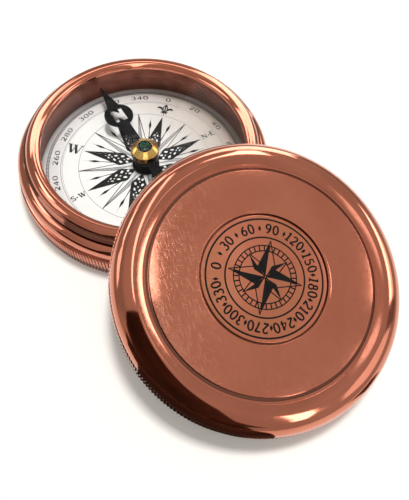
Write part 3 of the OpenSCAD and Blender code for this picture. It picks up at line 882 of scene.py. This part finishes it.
# %% Writing
def stroke_widths(kind, points, stem, hair):
    """A pen's stroke is thick where it runs upright. Every other stroke has one width."""
    if kind != "pen":
        return [{"stem": stem, "hair": hair, "thick": 0.6 * stem}[kind]] * len(points)
    widths = []
    for before, after in zip(points[:1] + points, points[1:] + points[-1:]):
        rise = abs(after[1] - before[1])
        steep = rise / (math.hypot(after[0] - before[0], after[1] - before[1]) + 1e-9)
        widths.append(hair + (stem - hair) * steep)
    return widths


def write(ink, words, height, mid, turn_deg, stem=0.2, hair=0.07, gap=0.1, widen=1.0):
    """Writes a word centred on a point. The turn is anticlockwise, and 0 stands upright on +Y."""
    pen_x = -(sum(SIGNS[sign][1] for sign in words) + gap * (len(words) - 1)) / 2
    for sign in words:
        strokes, width = SIGNS[sign]
        for kind, points in strokes:
            upright = [((pen_x + x) * height * widen, (y - 0.5) * height) for x, y in points]
            widths = [height * share for share in stroke_widths(kind, points, stem, hair)]
            ink.ribbon(shifted(spin_points(upright, -turn_deg), mid), widths)
        pen_x += width + gap


print("signs drawn:", len(SIGNS))

# %% [markdown]
# ## The dial
# The card carries, from the edge inwards: a band of degree marks, the figures every twenty degrees, a
# double circle, the letters, a single circle and the rose. All of it is turned so that its north lies
# nineteen degrees right of the case's +Y.

# %% Circles, figures and letters
dial_north_deg = 19.0
print_z = dial_z + 0.004
tick_in_r = 29.5
tick_out_r = 30.25
figure_r = 27.65
figure_h = 1.5
figure_widen = 1.75
double_circle_r = 25.95
double_circle_gap = 0.45
letter_r = 22.95
rose_circle_r = 20.55

thin_print = Ink(print_z)
thin_print.circle(double_circle_r, 0.2)
thin_print.circle(double_circle_r - double_circle_gap, 0.12)
thin_print.circle(rose_circle_r, 0.16)
add_piece("dial_circles", thin_print.mesh("dial_circles"), "case", line_ink)

dark_print = Ink(print_z)
for degrees in range(0, 360, 20):
    spot = polar(figure_r, degrees, dial_north_deg)
    turn_deg = -degrees - dial_north_deg
    write(dark_print, str(degrees), figure_h, spot, turn_deg, 0.24, 0.07, 0.14, figure_widen)
letter_h = 3.4
small_letter_h = 1.7
for bearing, letter in ((90, "E"), (180, "S"), (270, "W")):
    spot = polar(letter_r, bearing, dial_north_deg)
    write(dark_print, letter, letter_h, spot, -dial_north_deg, 0.23, 0.08, 0.1, 1.15)
for bearing, letters, lean in ((45, "N-E", 45), (135, "S-E", -45), (225, "S-W", 45), (315, "N-W", -45)):
    spot = polar(letter_r + 0.1, bearing - 1, dial_north_deg)
    write(dark_print, letters, small_letter_h, spot, lean - dial_north_deg, 0.24, 0.11, 0.1, 1.1)
add_piece("dial_figures", dark_print.mesh("dial_figures"), "case", black_ink)

tick_count = 360
tick_half_deg = 0.28
one_tick = Ink(print_z)
corners = ((tick_in_r, -1), (tick_out_r, -1), (tick_out_r, 1), (tick_in_r, 1))
one_tick.shape([polar(r, side * tick_half_deg) for r, side in corners])
tick_mesh = repeated_mesh("degree_marks", one_tick.mesh("one_tick"), tick_count, band_ink, -dial_north_deg)
add_piece("degree_marks", tick_mesh, "case", band_ink)
tick_rings = Ink(print_z)
for ring_r in (tick_in_r, tick_out_r):
    tick_rings.circle(ring_r, 0.16)
add_piece("degree_rings", tick_rings.mesh("degree_rings"), "case", band_ink)

# %% [markdown]
# ### The rose
# One eighth of the rose is drawn pointing north and repeated eight times by the node tree: a long
# black point filled with white leaves, a half-shaded kite, and two thin spears with a black diamond.
# The layers lie about a hundredth of a millimetre above each other.

# %% Rose
point_r = 20.1
point_wide_r = 7.8
point_half_w = 2.5
kite_r = 20.5
kite_wide_r = 9.6
kite_half_w = 1.15
spear_r = 19.8
spear_mark_r = 15.8
spear_turn_deg = 10.8
spear_mark_half_h = 2.2
rose_in_r = 3.6
rose_parts_round = 8
kite_turn_deg = 360 / rose_parts_round / 2
layer = 0.012


def kite(in_r, wide_r, out_r, half_w):
    """A long diamond pointing north."""
    return [(0, in_r), (half_w, wide_r), (0, out_r), (-half_w, wide_r)]


def rose_black():
    """The black shapes of one eighth of the rose."""
    ink = Ink(print_z)
    ink.shape(kite(rose_in_r, point_wide_r, point_r, point_half_w))
    diamond = kite(spear_mark_r - spear_mark_half_h, spear_mark_r, spear_mark_r + spear_mark_half_h, 0.44)
    hair = kite(5, 11, spear_r, 0.16)
    for bearing in (spear_turn_deg, 2 * kite_turn_deg - spear_turn_deg):
        for mark in (diamond, hair):
            ink.shape(spin_points(mark, bearing))
    return ink.mesh("rose_black_one")


def rose_outlines():
    """The outlines of one kite: a bold edge on its lit side, thin ones elsewhere."""
    ink = Ink(print_z + layer / 2)
    inner, right, tip, left = kite(rose_in_r, kite_wide_r, kite_r, kite_half_w)
    lines = (([right, tip], [0.24, 0.3]), ([tip, left], [0.2, 0.12]),
             ([left, inner, right], [0.12, 0.12, 0.12]), ([tip, inner], [0.22, 0.12]))
    for path, widths in lines:
        ink.ribbon(spin_points(path, kite_turn_deg), widths)
    return ink.mesh("rose_outlines_one")


def rose_grey():
    """The shaded half of each kite."""
    ink = Ink(print_z + layer / 4)
    ink.shape(spin_points([(0, rose_in_r), (0, kite_r), (-kite_half_w, kite_wide_r)], kite_turn_deg))
    return ink.mesh("rose_grey_one")


def petal(ink, mid, half_w, half_h, lean_deg):
    """A small white leaf that leans by an angle."""
    ink.shape(shifted(spin_points(bow(0, 0, half_w, half_h, 0, 324, 9), -lean_deg), mid))


def rose_lace():
    """White leaves on the black point, in pairs that shrink towards the tip, with one between two pairs."""
    ink = Ink(print_z + layer)
    pairs = ((5.9, 0.6, 0.34, 0.5), (7.8, 1.1, 0.36, 0.6), (9.9, 0.8, 0.3, 0.55), (11.9, 0.5, 0.2, 0.45))
    for y, x, half_w, half_h in pairs:
        for side in (-1, 1):
            petal(ink, (side * x, y), half_w, half_h, side * 24)
        petal(ink, (0, y + 1.05), half_w * 0.55, half_h * 0.5, 0)
    return ink.mesh("rose_lace_one")


rose_parts = (
    ("rose_points", rose_black(), black_ink),
    ("rose_shades", rose_grey(), grey_ink),
    ("rose_outlines", rose_outlines(), fine_ink),
    ("rose_lace", rose_lace(), white_ink),
)
for name, one_mesh, finish in rose_parts:
    rose_mesh = repeated_mesh(name, one_mesh, rose_parts_round, finish, -dial_north_deg)
    add_piece(name, rose_mesh, "case", finish)


# %% [markdown]
# ### The lily at north
# North is marked by a small lily: a pointed leaf between two curled ones, tied by a band.

# %% Lily
def lily(ink, mid_r):
    """A lily pointing outwards at north, drawn upright and turned with the dial."""
    def put(points):
        return spin_points(shifted(points, (0, mid_r)), dial_north_deg)
    leaf = [(0, 2.5), (0.42, 1.7), (0.72, 0.85), (0.66, 0.2), (0.24, -0.75)]
    ink.ribbon(put(leaf), [0.2, 0.3, 0.36, 0.3, 0.2])
    ink.ribbon(put([(-x, y) for x, y in leaf]), [0.2, 0.3, 0.36, 0.3, 0.2])
    ink.ribbon(put([(0, 2.3), (0, -0.7)]), [0.6, 0.3])
    for side in (-1, 1):
        curl = [(side * x, y) for x, y in ((0.3, -0.6), (0.85, 0.1), (1.4, 0.62), (2.05, 0.72), (2.6, 0.3))]
        ink.ribbon(put(curl), [0.3, 0.6, 0.85, 0.85, 0.3])
        foot = [(side * x, y) for x, y in ((0.2, -0.9), (0.6, -1.4), (1.1, -1.5))]
        ink.ribbon(put(foot), [0.4, 0.5, 0.2])
    ink.ribbon(put([(-1.1, -0.8), (1.1, -0.8)]), [0.4, 0.4])
    ink.ribbon(put([(0, -0.9), (0, -2.3)]), [0.5, 0.14])


lily_ink = Ink(print_z)
lily(lily_ink, letter_r + 0.15)
add_piece("dial_lily", lily_ink.mesh("dial_lily"), "case", black_ink)

# %% [markdown]
# ## Post, needle and cap
# A black post clamps the dial and holds the steel pin. The needle hangs on the pin by its brass cap:
# a flat black bar with a pierced disc towards north and a smaller disc towards south. The bar is cut
# from sheet, so it is drawn as one outline with its holes, and its edges are broken.

# %% Post, collar, cap and stone
small_steps = 96
foot_top_z = dial_z + 0.8
stem_r = 3.3
stem_top_z = 5.5
tip_r = 1.5
post_section = [(0, dial_z, 0), (post_r, dial_z, 0.02), (post_r, foot_top_z, 0.2), (stem_r, foot_top_z, 0.1)]
post_section += [(stem_r, stem_top_z, 0.2), (tip_r, post_top_z, 0.1), (0, post_top_z, 0)]
add_turned("post_turned", post_section, "case", "black_metal", black_steel, ["pivot_post"],
           steps=small_steps)

hub_hole_r = 1.7
collar_section = [(hub_hole_r, collar_z, 0.05), (collar_r, collar_z, 0.2), (collar_r, needle_z, 0.05)]
collar_section += [(hub_hole_r, needle_z, 0.05)]
add_turned("collar_turned", collar_section, "needle", "black_metal", black_steel, ["needle_collar"],
           closed=True, steps=small_steps)

cap_lip_r = stone_r + 0.22
cap_bore_r = 1.4
cap_section = [(0, cap_bevel_z, 0), (cap_bore_r, cap_bevel_z, 0), (cap_bore_r, cap_low_z, 0.05)]
cap_section += [(cap_r, cap_low_z, 0.12), (cap_r, cap_bevel_z, 0.07), (cap_lip_r, cap_top_z, 0.05)]
cap_section += [(stone_r, cap_top_z, 0.04), (stone_r, stone_z, 0), (0, stone_z, 0)]
add_turned("cap_turned", cap_section, "needle", "yellow_brass", brass, ["needle_cap"], steps=128)

stone_rise = stone_top_z - cap_top_z
dome_r = (stone_r ** 2 + stone_rise ** 2) / (2 * stone_rise)
dome_deg = math.degrees(math.acos(stone_r / dome_r))
stone_section = [(0, stone_z, 0), (stone_r, stone_z, 0)]
stone_section += arc(0, stone_top_z - dome_r, dome_r, dome_deg, 90, 12)
stone_section[-1] = (0, stone_top_z, 0)
add_turned("stone_dome", stone_section, "needle", "green_stone", stone_green, ["cap_stone"],
           steps=small_steps, edge_deg=50)


# %% Needle bar
needle_bearing_deg = -25.1
needle_t = 0.6
bar_half_w = 1.55
disc_x = 17.3
disc_r = 4.5
tail_x = 23.5
tail_disc_x = 17.0
tail_disc_r = 3.4
tail_disc_end_deg = 158
tail_half_w = 0.6
tip_x = 30.1
tip_half_w = 0.3
spear_along_shares = [0.12, 0.28, 0.5, 0.75]
spear_width_shares = [0.88, 0.74, 0.5, 0.27]
spear_root_share = 0.9
spear_half_share = 0.43
letter_half_l = 2.6
letter_half_w = 2.0
letter_stroke = 1.3
letter_notch = 1.5


def needle_outline():
    """The needle's upper half from the north tip to the south end, then the same mirrored."""
    root_x = disc_x + disc_r * spear_root_share
    half = disc_r * spear_half_share
    shares = zip(spear_along_shares, spear_width_shares)
    spear = [(root_x + (tip_x - root_x) * out, half * wide) for out, wide in shares]
    side = [(tip_x, tip_half_w)] + spear[::-1]
    disc_end = 180 - math.degrees(math.asin(bar_half_w / disc_r))
    disc_start = math.degrees(math.acos(spear_root_share))
    side += bow(disc_x, 0, disc_r, disc_r, disc_start, disc_end, 20)
    hub_deg = math.degrees(math.asin(bar_half_w / collar_r))
    side += bow(0, 0, collar_r, collar_r, hub_deg, 180 - hub_deg, 16)
    tail_deg = math.degrees(math.asin(bar_half_w / tail_disc_r))
    side += bow(-tail_disc_x, 0, tail_disc_r, tail_disc_r, tail_deg, tail_disc_end_deg, 14)
    side += [(-tail_x, tail_half_w)]
    return side + [(x, -y) for x, y in side[::-1]]


def pierced_letter():
    """The outline of the letter N cut through the disc, its top towards the tip."""
    low, top = disc_x - letter_half_l, disc_x + letter_half_l
    left, right = letter_half_w, -letter_half_w
    left_in, right_in = left - letter_stroke, right + letter_stroke
    upper_half = [(low, left), (top, left), (top, left_in), (top - letter_notch, right_in), (top, right_in)]
    lower_half = [(top, right), (low, right), (low, right_in), (low + letter_notch, left_in), (low, left_in)]
    return upper_half + lower_half


# %% Cut sheet
def flat_curve_mesh(name, outlines, low_z, top_z, edge=0.05):
    """A sheet cut to outlines, holes included, with its edges broken."""
    curve = bpy.data.curves.new(name, "CURVE")
    curve.dimensions = "2D"
    curve.fill_mode = "BOTH"
    curve.extrude = (top_z - low_z) / 2 * MM - edge * MM
    curve.bevel_depth = edge * MM
    curve.offset = -edge * MM
    for outline in outlines:
        spline = curve.splines.new("POLY")
        spline.points.add(len(outline) - 1)
        for point, (x, y) in zip(spline.points, outline):
            point.co = (x * MM, y * MM, 0, 1)
        spline.use_cyclic_u = True
    holder = new_object(name + "_curve", curve)
    seen = bpy.context.evaluated_depsgraph_get()
    mesh = bpy.data.meshes.new_from_object(holder.evaluated_get(seen))
    bpy.data.objects.remove(holder)
    bm = bmesh.new()
    bm.from_mesh(mesh)
    bmesh.ops.remove_doubles(bm, verts=bm.verts, dist=0.0005 * MM)
    bmesh.ops.recalc_face_normals(bm, faces=bm.faces)
    bm.to_mesh(mesh)
    bm.free()
    mesh.transform(Matrix.Translation((0, 0, (low_z + top_z) / 2 * MM)))
    return mesh


hub_hole = bow(0, 0, hub_hole_r, hub_hole_r, 0, 348, 29)
bar_outlines = [needle_outline(), pierced_letter(), hub_hole]
bar_mesh = flat_curve_mesh("needle_sheet", bar_outlines, needle_z, needle_z + needle_t)
bar_turn = turn(90 - needle_bearing_deg, "Z")
add_piece("needle_sheet", bar_mesh, "needle", black_steel, ["needle_bar"], bar_turn)

# %% [markdown]
# ## The lid
# The lid is turned like the case: a knurled band below, a wide round rim that falls inwards as a cone,
# a narrow groove, and the face with a shallow seat for the badge. Inside it has its own thread. The
# rim and the face are polished differently, so the section is drawn in two parts that meet at the
# groove, and the faces inside the groove get the rubbed finish.

# %% Sizes of the lid
lid_band_h = 7.5
lid_round = 4.5
lid_wall_t = 1.5
lid_roll_r = case_r - 0.25
lid_round_r = case_r - 0.9 - lid_round
lid_step_r = case_r - 7.7
lid_face_h = lid_band_h + lid_round - 0.8
lid_ring_h = lid_face_h - 0.3
lid_under_h = lid_face_h - 1.3
groove_out_r = lid_step_r - 0.7
groove_in_r = groove_out_r - 0.8
groove_h = lid_face_h - 0.7
lid_inner_round = lid_round - lid_wall_t
lid_thread_r = thread_r + 0.2
lid_ridge_r = neck_r + 0.25
lid_thread_h = 3.6
lid_foot_h = 0.4
badge_r = 16.4
badge_t = 0.5
badge_seat_h = lid_face_h - 0.1 - badge_t
inner_deg = math.degrees(math.asin((lid_under_h - lid_band_h) / lid_inner_round))
roll_h = lid_round - 0.06
cone_deg = 28
cone_round = 2.0
cone_start_r = lid_round_r - cone_round * math.sin(math.radians(cone_deg))
cone_start_h = lid_band_h + roll_h - cone_round * (1 - math.cos(math.radians(cone_deg)))
cone_end_h = cone_start_h - (cone_start_r - lid_step_r) * math.tan(math.radians(cone_deg))
print("the lid stands %.1f mm high, its face is at %.1f mm" % (lid_band_h + roll_h, lid_face_h))

# %% Lid shell
rim_section = [(0, lid_under_h, 0)]
rim_section += arc(lid_round_r, lid_band_h, lid_inner_round, inner_deg, 0)
rim_section += [(lid_round_r + lid_inner_round, lid_thread_h, 0.1), (lid_thread_r, lid_thread_h, 0.1)]
rim_section += thread_ridges(lid_thread_r - 0.02, lid_ridge_r, 1.075)[::-1]
rim_section += [(lid_thread_r, 0, 0.1), (lid_foot_r, 0, 0.2), (band_root_r, lid_foot_h, 0.1)]
rim_section += [(band_root_r, lid_band_h, 0.12), (lid_roll_r, lid_band_h, 0.1)]
rim_section += unrounded(bow(lid_round_r, lid_band_h, lid_roll_r - lid_round_r, roll_h, 4, 90, 24))
rim_section += arc(lid_round_r, lid_band_h + roll_h - cone_round, cone_round, 92, 90 + cone_deg, 12)
rim_section += [(lid_step_r, cone_end_h, 0.08), (lid_step_r, lid_ring_h, 0.06)]
rim_section += [(groove_out_r, lid_ring_h, 0.08), (groove_out_r, groove_h, 0.12)]
rim_section += [(groove_in_r, groove_h, 0.12), (groove_in_r, lid_face_h, 0.1)]

# The face runs flat from the groove to a low round lip that frames the badge
face_section = []
lip_h = 0.07
lip_out_r = badge_r + 1.0
lip_crest_r = badge_r + 0.35
lip_steps = 16
for k in range(lip_steps + 1):
    share = k / lip_steps
    swell = math.sin(math.pi / 2 * share) ** 2
    face_section.append((lip_out_r + (lip_crest_r - lip_out_r) * share, lid_face_h + lip_h * swell, 0))
face_section += [(badge_r + 0.08, lid_face_h + lip_h * 0.5, 0.1), (badge_r, lid_face_h - 0.15, 0.1)]
face_section += [(badge_r, badge_seat_h, 0), (0, badge_seat_h, 0)]
lid_section = rim_section + face_section
lid_piece = add_turned("lid_turned", lid_section, "lid", "copper_lid", rim_copper, ["lid_shell"], lid_place)

# The rubbed finish covers what lies inside the groove on the outer side
lid_mesh = lid_piece.data
lid_mesh.materials.append(face_copper)
to_flat = lid_place.inverted()
for polygon in lid_mesh.polygons:
    spot = to_flat @ polygon.center
    if math.hypot(spot.x, spot.y) < groove_in_r * MM and spot.z > (lid_under_h + 0.3) * MM:
        polygon.material_index = 1

lid_teeth = repeated_mesh("lid_knurling", tooth_mesh(lid_foot_h, lid_band_h - 0.2), teeth, lid_knurl_copper)
add_piece("lid_knurling", lid_teeth, "lid", lid_knurl_copper, (), lid_place)

# %% [markdown]
# ## The badge
# A disc is etched, filled with black and let into the face. Its design here is a plain one: a wind
# rose in the middle, and round it a band of figures with a small diamond between each two.

# %% Badge disc and etching
badge_top_h = badge_seat_h + badge_t
badge_gap = 0.3
disc_out_r = badge_r - badge_gap
badge_section = [(0, badge_seat_h, 0), (disc_out_r, badge_seat_h, 0), (disc_out_r, badge_top_h - 0.2, 0.05)]
badge_section += [(disc_out_r - 0.25, badge_top_h, 0.12), (0, badge_top_h, 0)]
add_turned("badge_disc", badge_section, "lid", "etched_copper", badge_copper, ["lid_badge"], lid_place)

# %% Etching
etch = Ink(badge_top_h, 0.01)
badge_north_deg = -38.0
ring_out_r = 14.9
ring_in_r = 10.1
figure_mid_r = 12.45
etch.circle(ring_out_r, 0.46)
etch.circle(ring_in_r, 0.42)
figure_step = 30
for degrees in range(0, 360, figure_step):
    spot = polar(figure_mid_r, degrees, badge_north_deg)
    write(etch, str(degrees), 2.5, spot, -degrees - badge_north_deg, 0.19, 0.15, 0.15)
    diamond = kite(figure_mid_r - 0.8, figure_mid_r, figure_mid_r + 0.8, 0.42)
    etch.shape(spin_points(diamond, degrees + figure_step / 2 + badge_north_deg))
star_long_r = 9.5
star_short_r = 7.0
star_waist_r = 3.3
root = (0, 0.2)
for k in range(4):
    for first_deg, out_r, waist_deg in ((45, star_short_r, 22.5), (0, star_long_r, 45)):
        bearing = 90 * k + first_deg + badge_north_deg
        waist = polar(star_waist_r, waist_deg)
        other = polar(star_waist_r, -waist_deg)
        etch.shape(spin_points([root, (0, out_r), other], bearing))
        etch.ribbon(spin_points([(0, out_r), waist, root], bearing), [0.3, 0.3, 0.3])
scale_in_r = 6.6
scale_out_r = 8.0
etch.circle(scale_in_r, 0.3)
etch.circle(scale_out_r, 0.3)
for degrees in range(0, 360, 10):
    mark = [polar(scale_r, degrees, badge_north_deg) for scale_r in (scale_in_r, scale_out_r)]
    etch.ribbon(mark, [0.34, 0.34])
add_piece("badge_etching", etch.mesh("badge_etching"), "lid", etch_black, (), lid_place)

# %% [markdown]
# ## Pieces that keep their measured shape
# Plain discs, rings and pins are already right, so the measured pieces stay and only get a finish.

# %% Finishes for the measured pieces
measured_finishes = {
    "crystal": glass,
    "crystal_gasket": gasket_rubber,
    "dial_plate": plate_metal,
    "dial_card": card_paper,
    "pivot_pin": pin_steel,
    "needle_cup": cup_jewel,
}
for node, finish in measured_finishes.items():
    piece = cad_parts[node]
    piece.data.materials.clear()
    piece.data.materials.append(finish)
print("measured pieces kept:", sorted(measured_finishes))

# %% [markdown]
# ## Table and light
# Copper shows what surrounds it, so the light is built as a small photographer's set. The object lies
# on white paper. One soft window stands high up behind it and casts the narrow, firm shadows. The sky
# is even but for two darker patches. Glowing cards close above give the metal its highlights, and dark
# cloth in front gives it the deep brown reflections.

# %% Table
table_glow = 0.13
table_half = 1.5
table_z = -0.00005


def table_finish():
    """White paper. A little glow for the camera keeps it white where the light falls off."""
    tint = (0.96, 0.93, 0.88, 1)
    finish, tree, shader = new_finish("white_table", Base_Color=tint, Roughness=0.9, Specular_IOR_Level=0.1)
    seen = add_node(tree, "ShaderNodeLightPath").outputs["Is Camera Ray"]
    settings = {"Color": (1, 1, 1, 1), "Strength": maths(tree, "MULTIPLY", seen, table_glow)}
    glow = add_node(tree, "ShaderNodeEmission", settings).outputs[0]
    both = add_node(tree, "ShaderNodeAddShader", {0: shader.outputs[0], 1: glow})
    plug(tree.nodes["Material Output"], "Surface", both.outputs[0])
    return finish


table_mesh = bpy.data.meshes.new("table")
table_corners = [(table_half * x, table_half * y, table_z) for x, y in ((-1, -1), (1, -1), (1, 1), (-1, 1))]
table_mesh.from_pydata(table_corners, [], [(0, 1, 2, 3)])
table_mesh.materials.append(table_finish())
new_object("table", table_mesh)
print("table of", 2 * table_half, "m")

# %% Helpers for light
def soft_lamp(name, place_mm, target_mm, width_mm, height_mm, power):
    """A rectangular soft light that points at a spot."""
    data = bpy.data.lights.new(name, "AREA")
    data.shape = "RECTANGLE"
    data.size = width_mm * MM
    data.size_y = height_mm * MM
    data.energy = power
    lamp = new_object(name, data)
    here, there = Vector(place_mm) * MM, Vector(target_mm) * MM
    facing = (there - here).to_track_quat("-Z", "Y").to_matrix().to_4x4()
    lamp.matrix_world = Matrix.Translation(here) @ facing
    return lamp


def from_zenith(turn_deg, tip_deg):
    """A direction by its turn from +X and its tip from straight up."""
    a, b = math.radians(turn_deg), math.radians(tip_deg)
    return Vector((math.sin(b) * math.cos(a), math.sin(b) * math.sin(a), math.cos(b)))


def sky_patch(tree, direction, turn_deg, tip_deg, wide_deg, tall_deg, edge, strength):
    """A soft rectangle in the sky that adds light, or takes it away where its strength is negative."""
    sides = ((from_zenith(turn_deg + 90, 90), wide_deg), (from_zenith(turn_deg, tip_deg + 90), tall_deg))
    reaches = []
    for axis, size in sides:
        far = maths(tree, "ABSOLUTE", along(tree, direction, axis))
        reaches.append(maths(tree, "DIVIDE", far, math.sin(math.radians(size / 2))))
    outer = maths(tree, "MAXIMUM", *reaches)
    inputs = {"Value": outer, "From Min": 1 + edge, "From Max": 1 - edge, "To Max": strength}
    glow = add_node(tree, "ShaderNodeMapRange", inputs, interpolation_type="SMOOTHSTEP").outputs[0]
    front = maths(tree, "GREATER_THAN", along(tree, direction, from_zenith(turn_deg, tip_deg)))
    return maths(tree, "MULTIPLY", glow, front)


# %% Lamps
middle = Vector((12, -25, 10))
window_away = 700
window_wide = 130
window_at = middle + from_zenith(55, 8) * window_away
soft_lamp("window", window_at, middle, window_wide, window_wide, 3.5).visible_glossy = False
print("window at", [round(v) for v in window_at], "mm")

# %% Surroundings
# Each patch: turn from +X, tip from straight up, width, height (all degrees), softness of edge, strength
patches = ((141, 68, 84, 70, 0.15, -0.12), (50, 82, 44, 14, 0.3, -0.22))
wall_level = 0.45
ceiling_level = 0.50
world = bpy.data.worlds.new("studio")
world.use_nodes = True
sky = world.node_tree
way = add_node(sky, "ShaderNodeTexCoord").outputs["Generated"]
level = spread(sky, above(sky, way), wall_level, ceiling_level, 0.8, 0.95)
for patch in patches:
    level = maths(sky, "ADD", level, sky_patch(sky, way, *patch))
room = sky.nodes["Background"]
room.inputs["Color"].default_value = (1, 0.95, 0.88, 1)
plug(room, "Strength", level)
white = add_node(sky, "ShaderNodeBackground", {"Color": (1, 1, 1, 1), "Strength": 1.0}).outputs[0]
seen_by_camera = add_node(sky, "ShaderNodeLightPath").outputs["Is Camera Ray"]
either = add_node(sky, "ShaderNodeMixShader", {0: seen_by_camera, 1: room.outputs[0], 2: white})
plug(sky.nodes["World Output"], "Surface", either.outputs[0])
bpy.context.scene.world = world
print("sky between", wall_level, "and", ceiling_level, "with", len(patches), "darker patches")

# %% [markdown]
# ### Cards and dark cloth
# A photographer lights polished metal with cards just above it, and keeps cloth where it should be
# dark. Here only the metal sees them. The open metal sees most of them. Three are seen only through
# the glass, and light the brass cap under it.

# %% Cards and dark cloth
card_height = 80
cloth_height = 40


def card(name, corners, glow=0.0, through_glass=False):
    """A glowing card or a dark cloth. Metal sees it in the open, or only through the glass."""
    sheet = bpy.data.meshes.new(name)
    sheet.from_pydata([Vector(corner) * MM for corner in corners], [], [tuple(range(len(corners)))])
    values = {"Emission_Color": (1, 1, 1, 1), "Emission_Strength": glow}
    finish, tree, shader = new_finish(name, Roughness=1.0, Specular_IOR_Level=0.0, **values)
    folds = spread(tree, noise(tree, object_coordinates(tree), 14, 3.0), 0, 1, 0.4, 0.65)
    plug(shader, "Base Color", blend_colours(tree, folds, (0.03, 0.022, 0.018), (0.09, 0.05, 0.035)))
    sheet.materials.append(finish)
    thing = new_object(name, sheet)
    thing.visible_camera = False
    thing.visible_diffuse = False
    thing.visible_glossy = not through_glass
    thing.visible_transmission = through_glass
    thing.visible_shadow = False


def card_over(name, height, spots, glow=0.0, through_glass=False):
    """A level card over the object, its corners given by X and Y."""
    card(name, [(x, y, height) for x, y in spots], glow, through_glass)


def round_lid(turn_deg, reach, height=0.5):
    """A spot given by its turn from +X and its distance, both seen from the lid's middle."""
    return (*shifted([on_circle(reach, math.radians(turn_deg))], lid_middle)[0], height)


lid_middle = lid_place.translation / MM
cloths = {
    "hanging_cloth": ((195, 730, 0), (195, 760, 220), (240, 760, 260), (276, 1050, 300), (276, 1050, 0)),
    "lying_cloth": ((210, 28), (208, 80), (198, 120), (196, 700), (276, 700), (275, 80), (272, 45),
                    (268, 28)),
    "lying_strap": ((314, 50), (312, 110), (326, 120), (325, 55)),
}
for name, spots in cloths.items():
    card(name, [round_lid(*spot) for spot in spots])
near_cloth = ((-75, -175), (-75, -100), (-52, -80), (-38, -68), (-20, -59), (0, -57), (3, -66), (9, -80))
near_cloth += ((17, -94), (20, -122), (36, -148), (50, -175))
card_over("near_cloth", cloth_height, near_cloth)
print("cloths:", [*cloths, "near_cloth"])

# %% Cards
open_cards = (
    ("card_behind", 5.0, ((26, 4), (36, 10), (43, 19), (47, 32), (61, 32), (61, 4))),
    ("card_behind_far", 0.95, ((47, 32), (49, 70), (66, 74), (61, 32))),
    ("card_right", 4.5, ((120, -62), (120, -38), (125, -20), (134, -6), (140, 8), (158, 4), (160, -62))),
    ("card_far_right", 1.8, ((160, 4), (220, -10), (220, -58), (160, -62))),
    ("card_low_right", 1.2, ((108, -84), (124, -80), (220, -92), (230, -170), (150, -165), (108, -118),
                             (100, -96))),
    ("card_front", 5.0, ((60, -108), (77, -110), (94, -138), (101, -160), (108, -184), (88, -180),
                         (78, -152), (68, -130))),
    ("card_bar", 0.15, ((121, -63), (230, -59), (400, -50), (400, -104), (230, -91), (125, -79))),
    ("card_small", 1.6, ((37, -31), (45, -31), (45, -42), (38, -42))),
    ("card_small_too", 1.6, ((37, -50), (44, -50), (43, -61), (36, -61))),
    ("card_strip", 3.2, ((-3, 24), (3, 24), (4, -10), (6, -30), (7, -56), (1, -56), (-2, -30))),
    ("card_case_left", 3.4, ((-80, 50), (-24, 50), (-24, 62), (-30, 95), (-90, 120))),
    ("card_case_middle", 3.4, ((-24, 50), (12, 50), (12, 60), (-24, 60))),
    ("card_case_right", 3.4, ((12, 50), (46, 50), (100, 50), (130, 120), (240, 260), (110, 260),
                              (36, 110), (16, 72))),
    ("card_hot", 4.0, ((-54, 8), (-50, 34), (-64, 36), (-84, 14), (-84, 2), (-66, 4))),
    ("card_low_left", 2.0, ((-66, -20), (-66, 2), (-84, 2), (-150, 20), (-150, -34), (-90, -34))),
)
glass_cards = (
    ("card_cap_front", 1.8, ((-20, -66), (20, -66), (20, -36), (-20, -36))),
    ("card_cap_left", 2.8, ((-172, 122), (-208, 108), (-150, 28), (-118, 44))),
    ("card_cap_right", 2.8, ((172, 122), (208, 108), (150, 28), (118, 44))),
)
for through_glass, cards in ((False, open_cards), (True, glass_cards)):
    for name, glow, spots in cards:
        card_over(name, card_height, spots, glow, through_glass)
print("cards:", len(open_cards), "in the open and", len(glass_cards), "through the glass")
bpy.context.scene.view_settings.view_transform = "Standard"
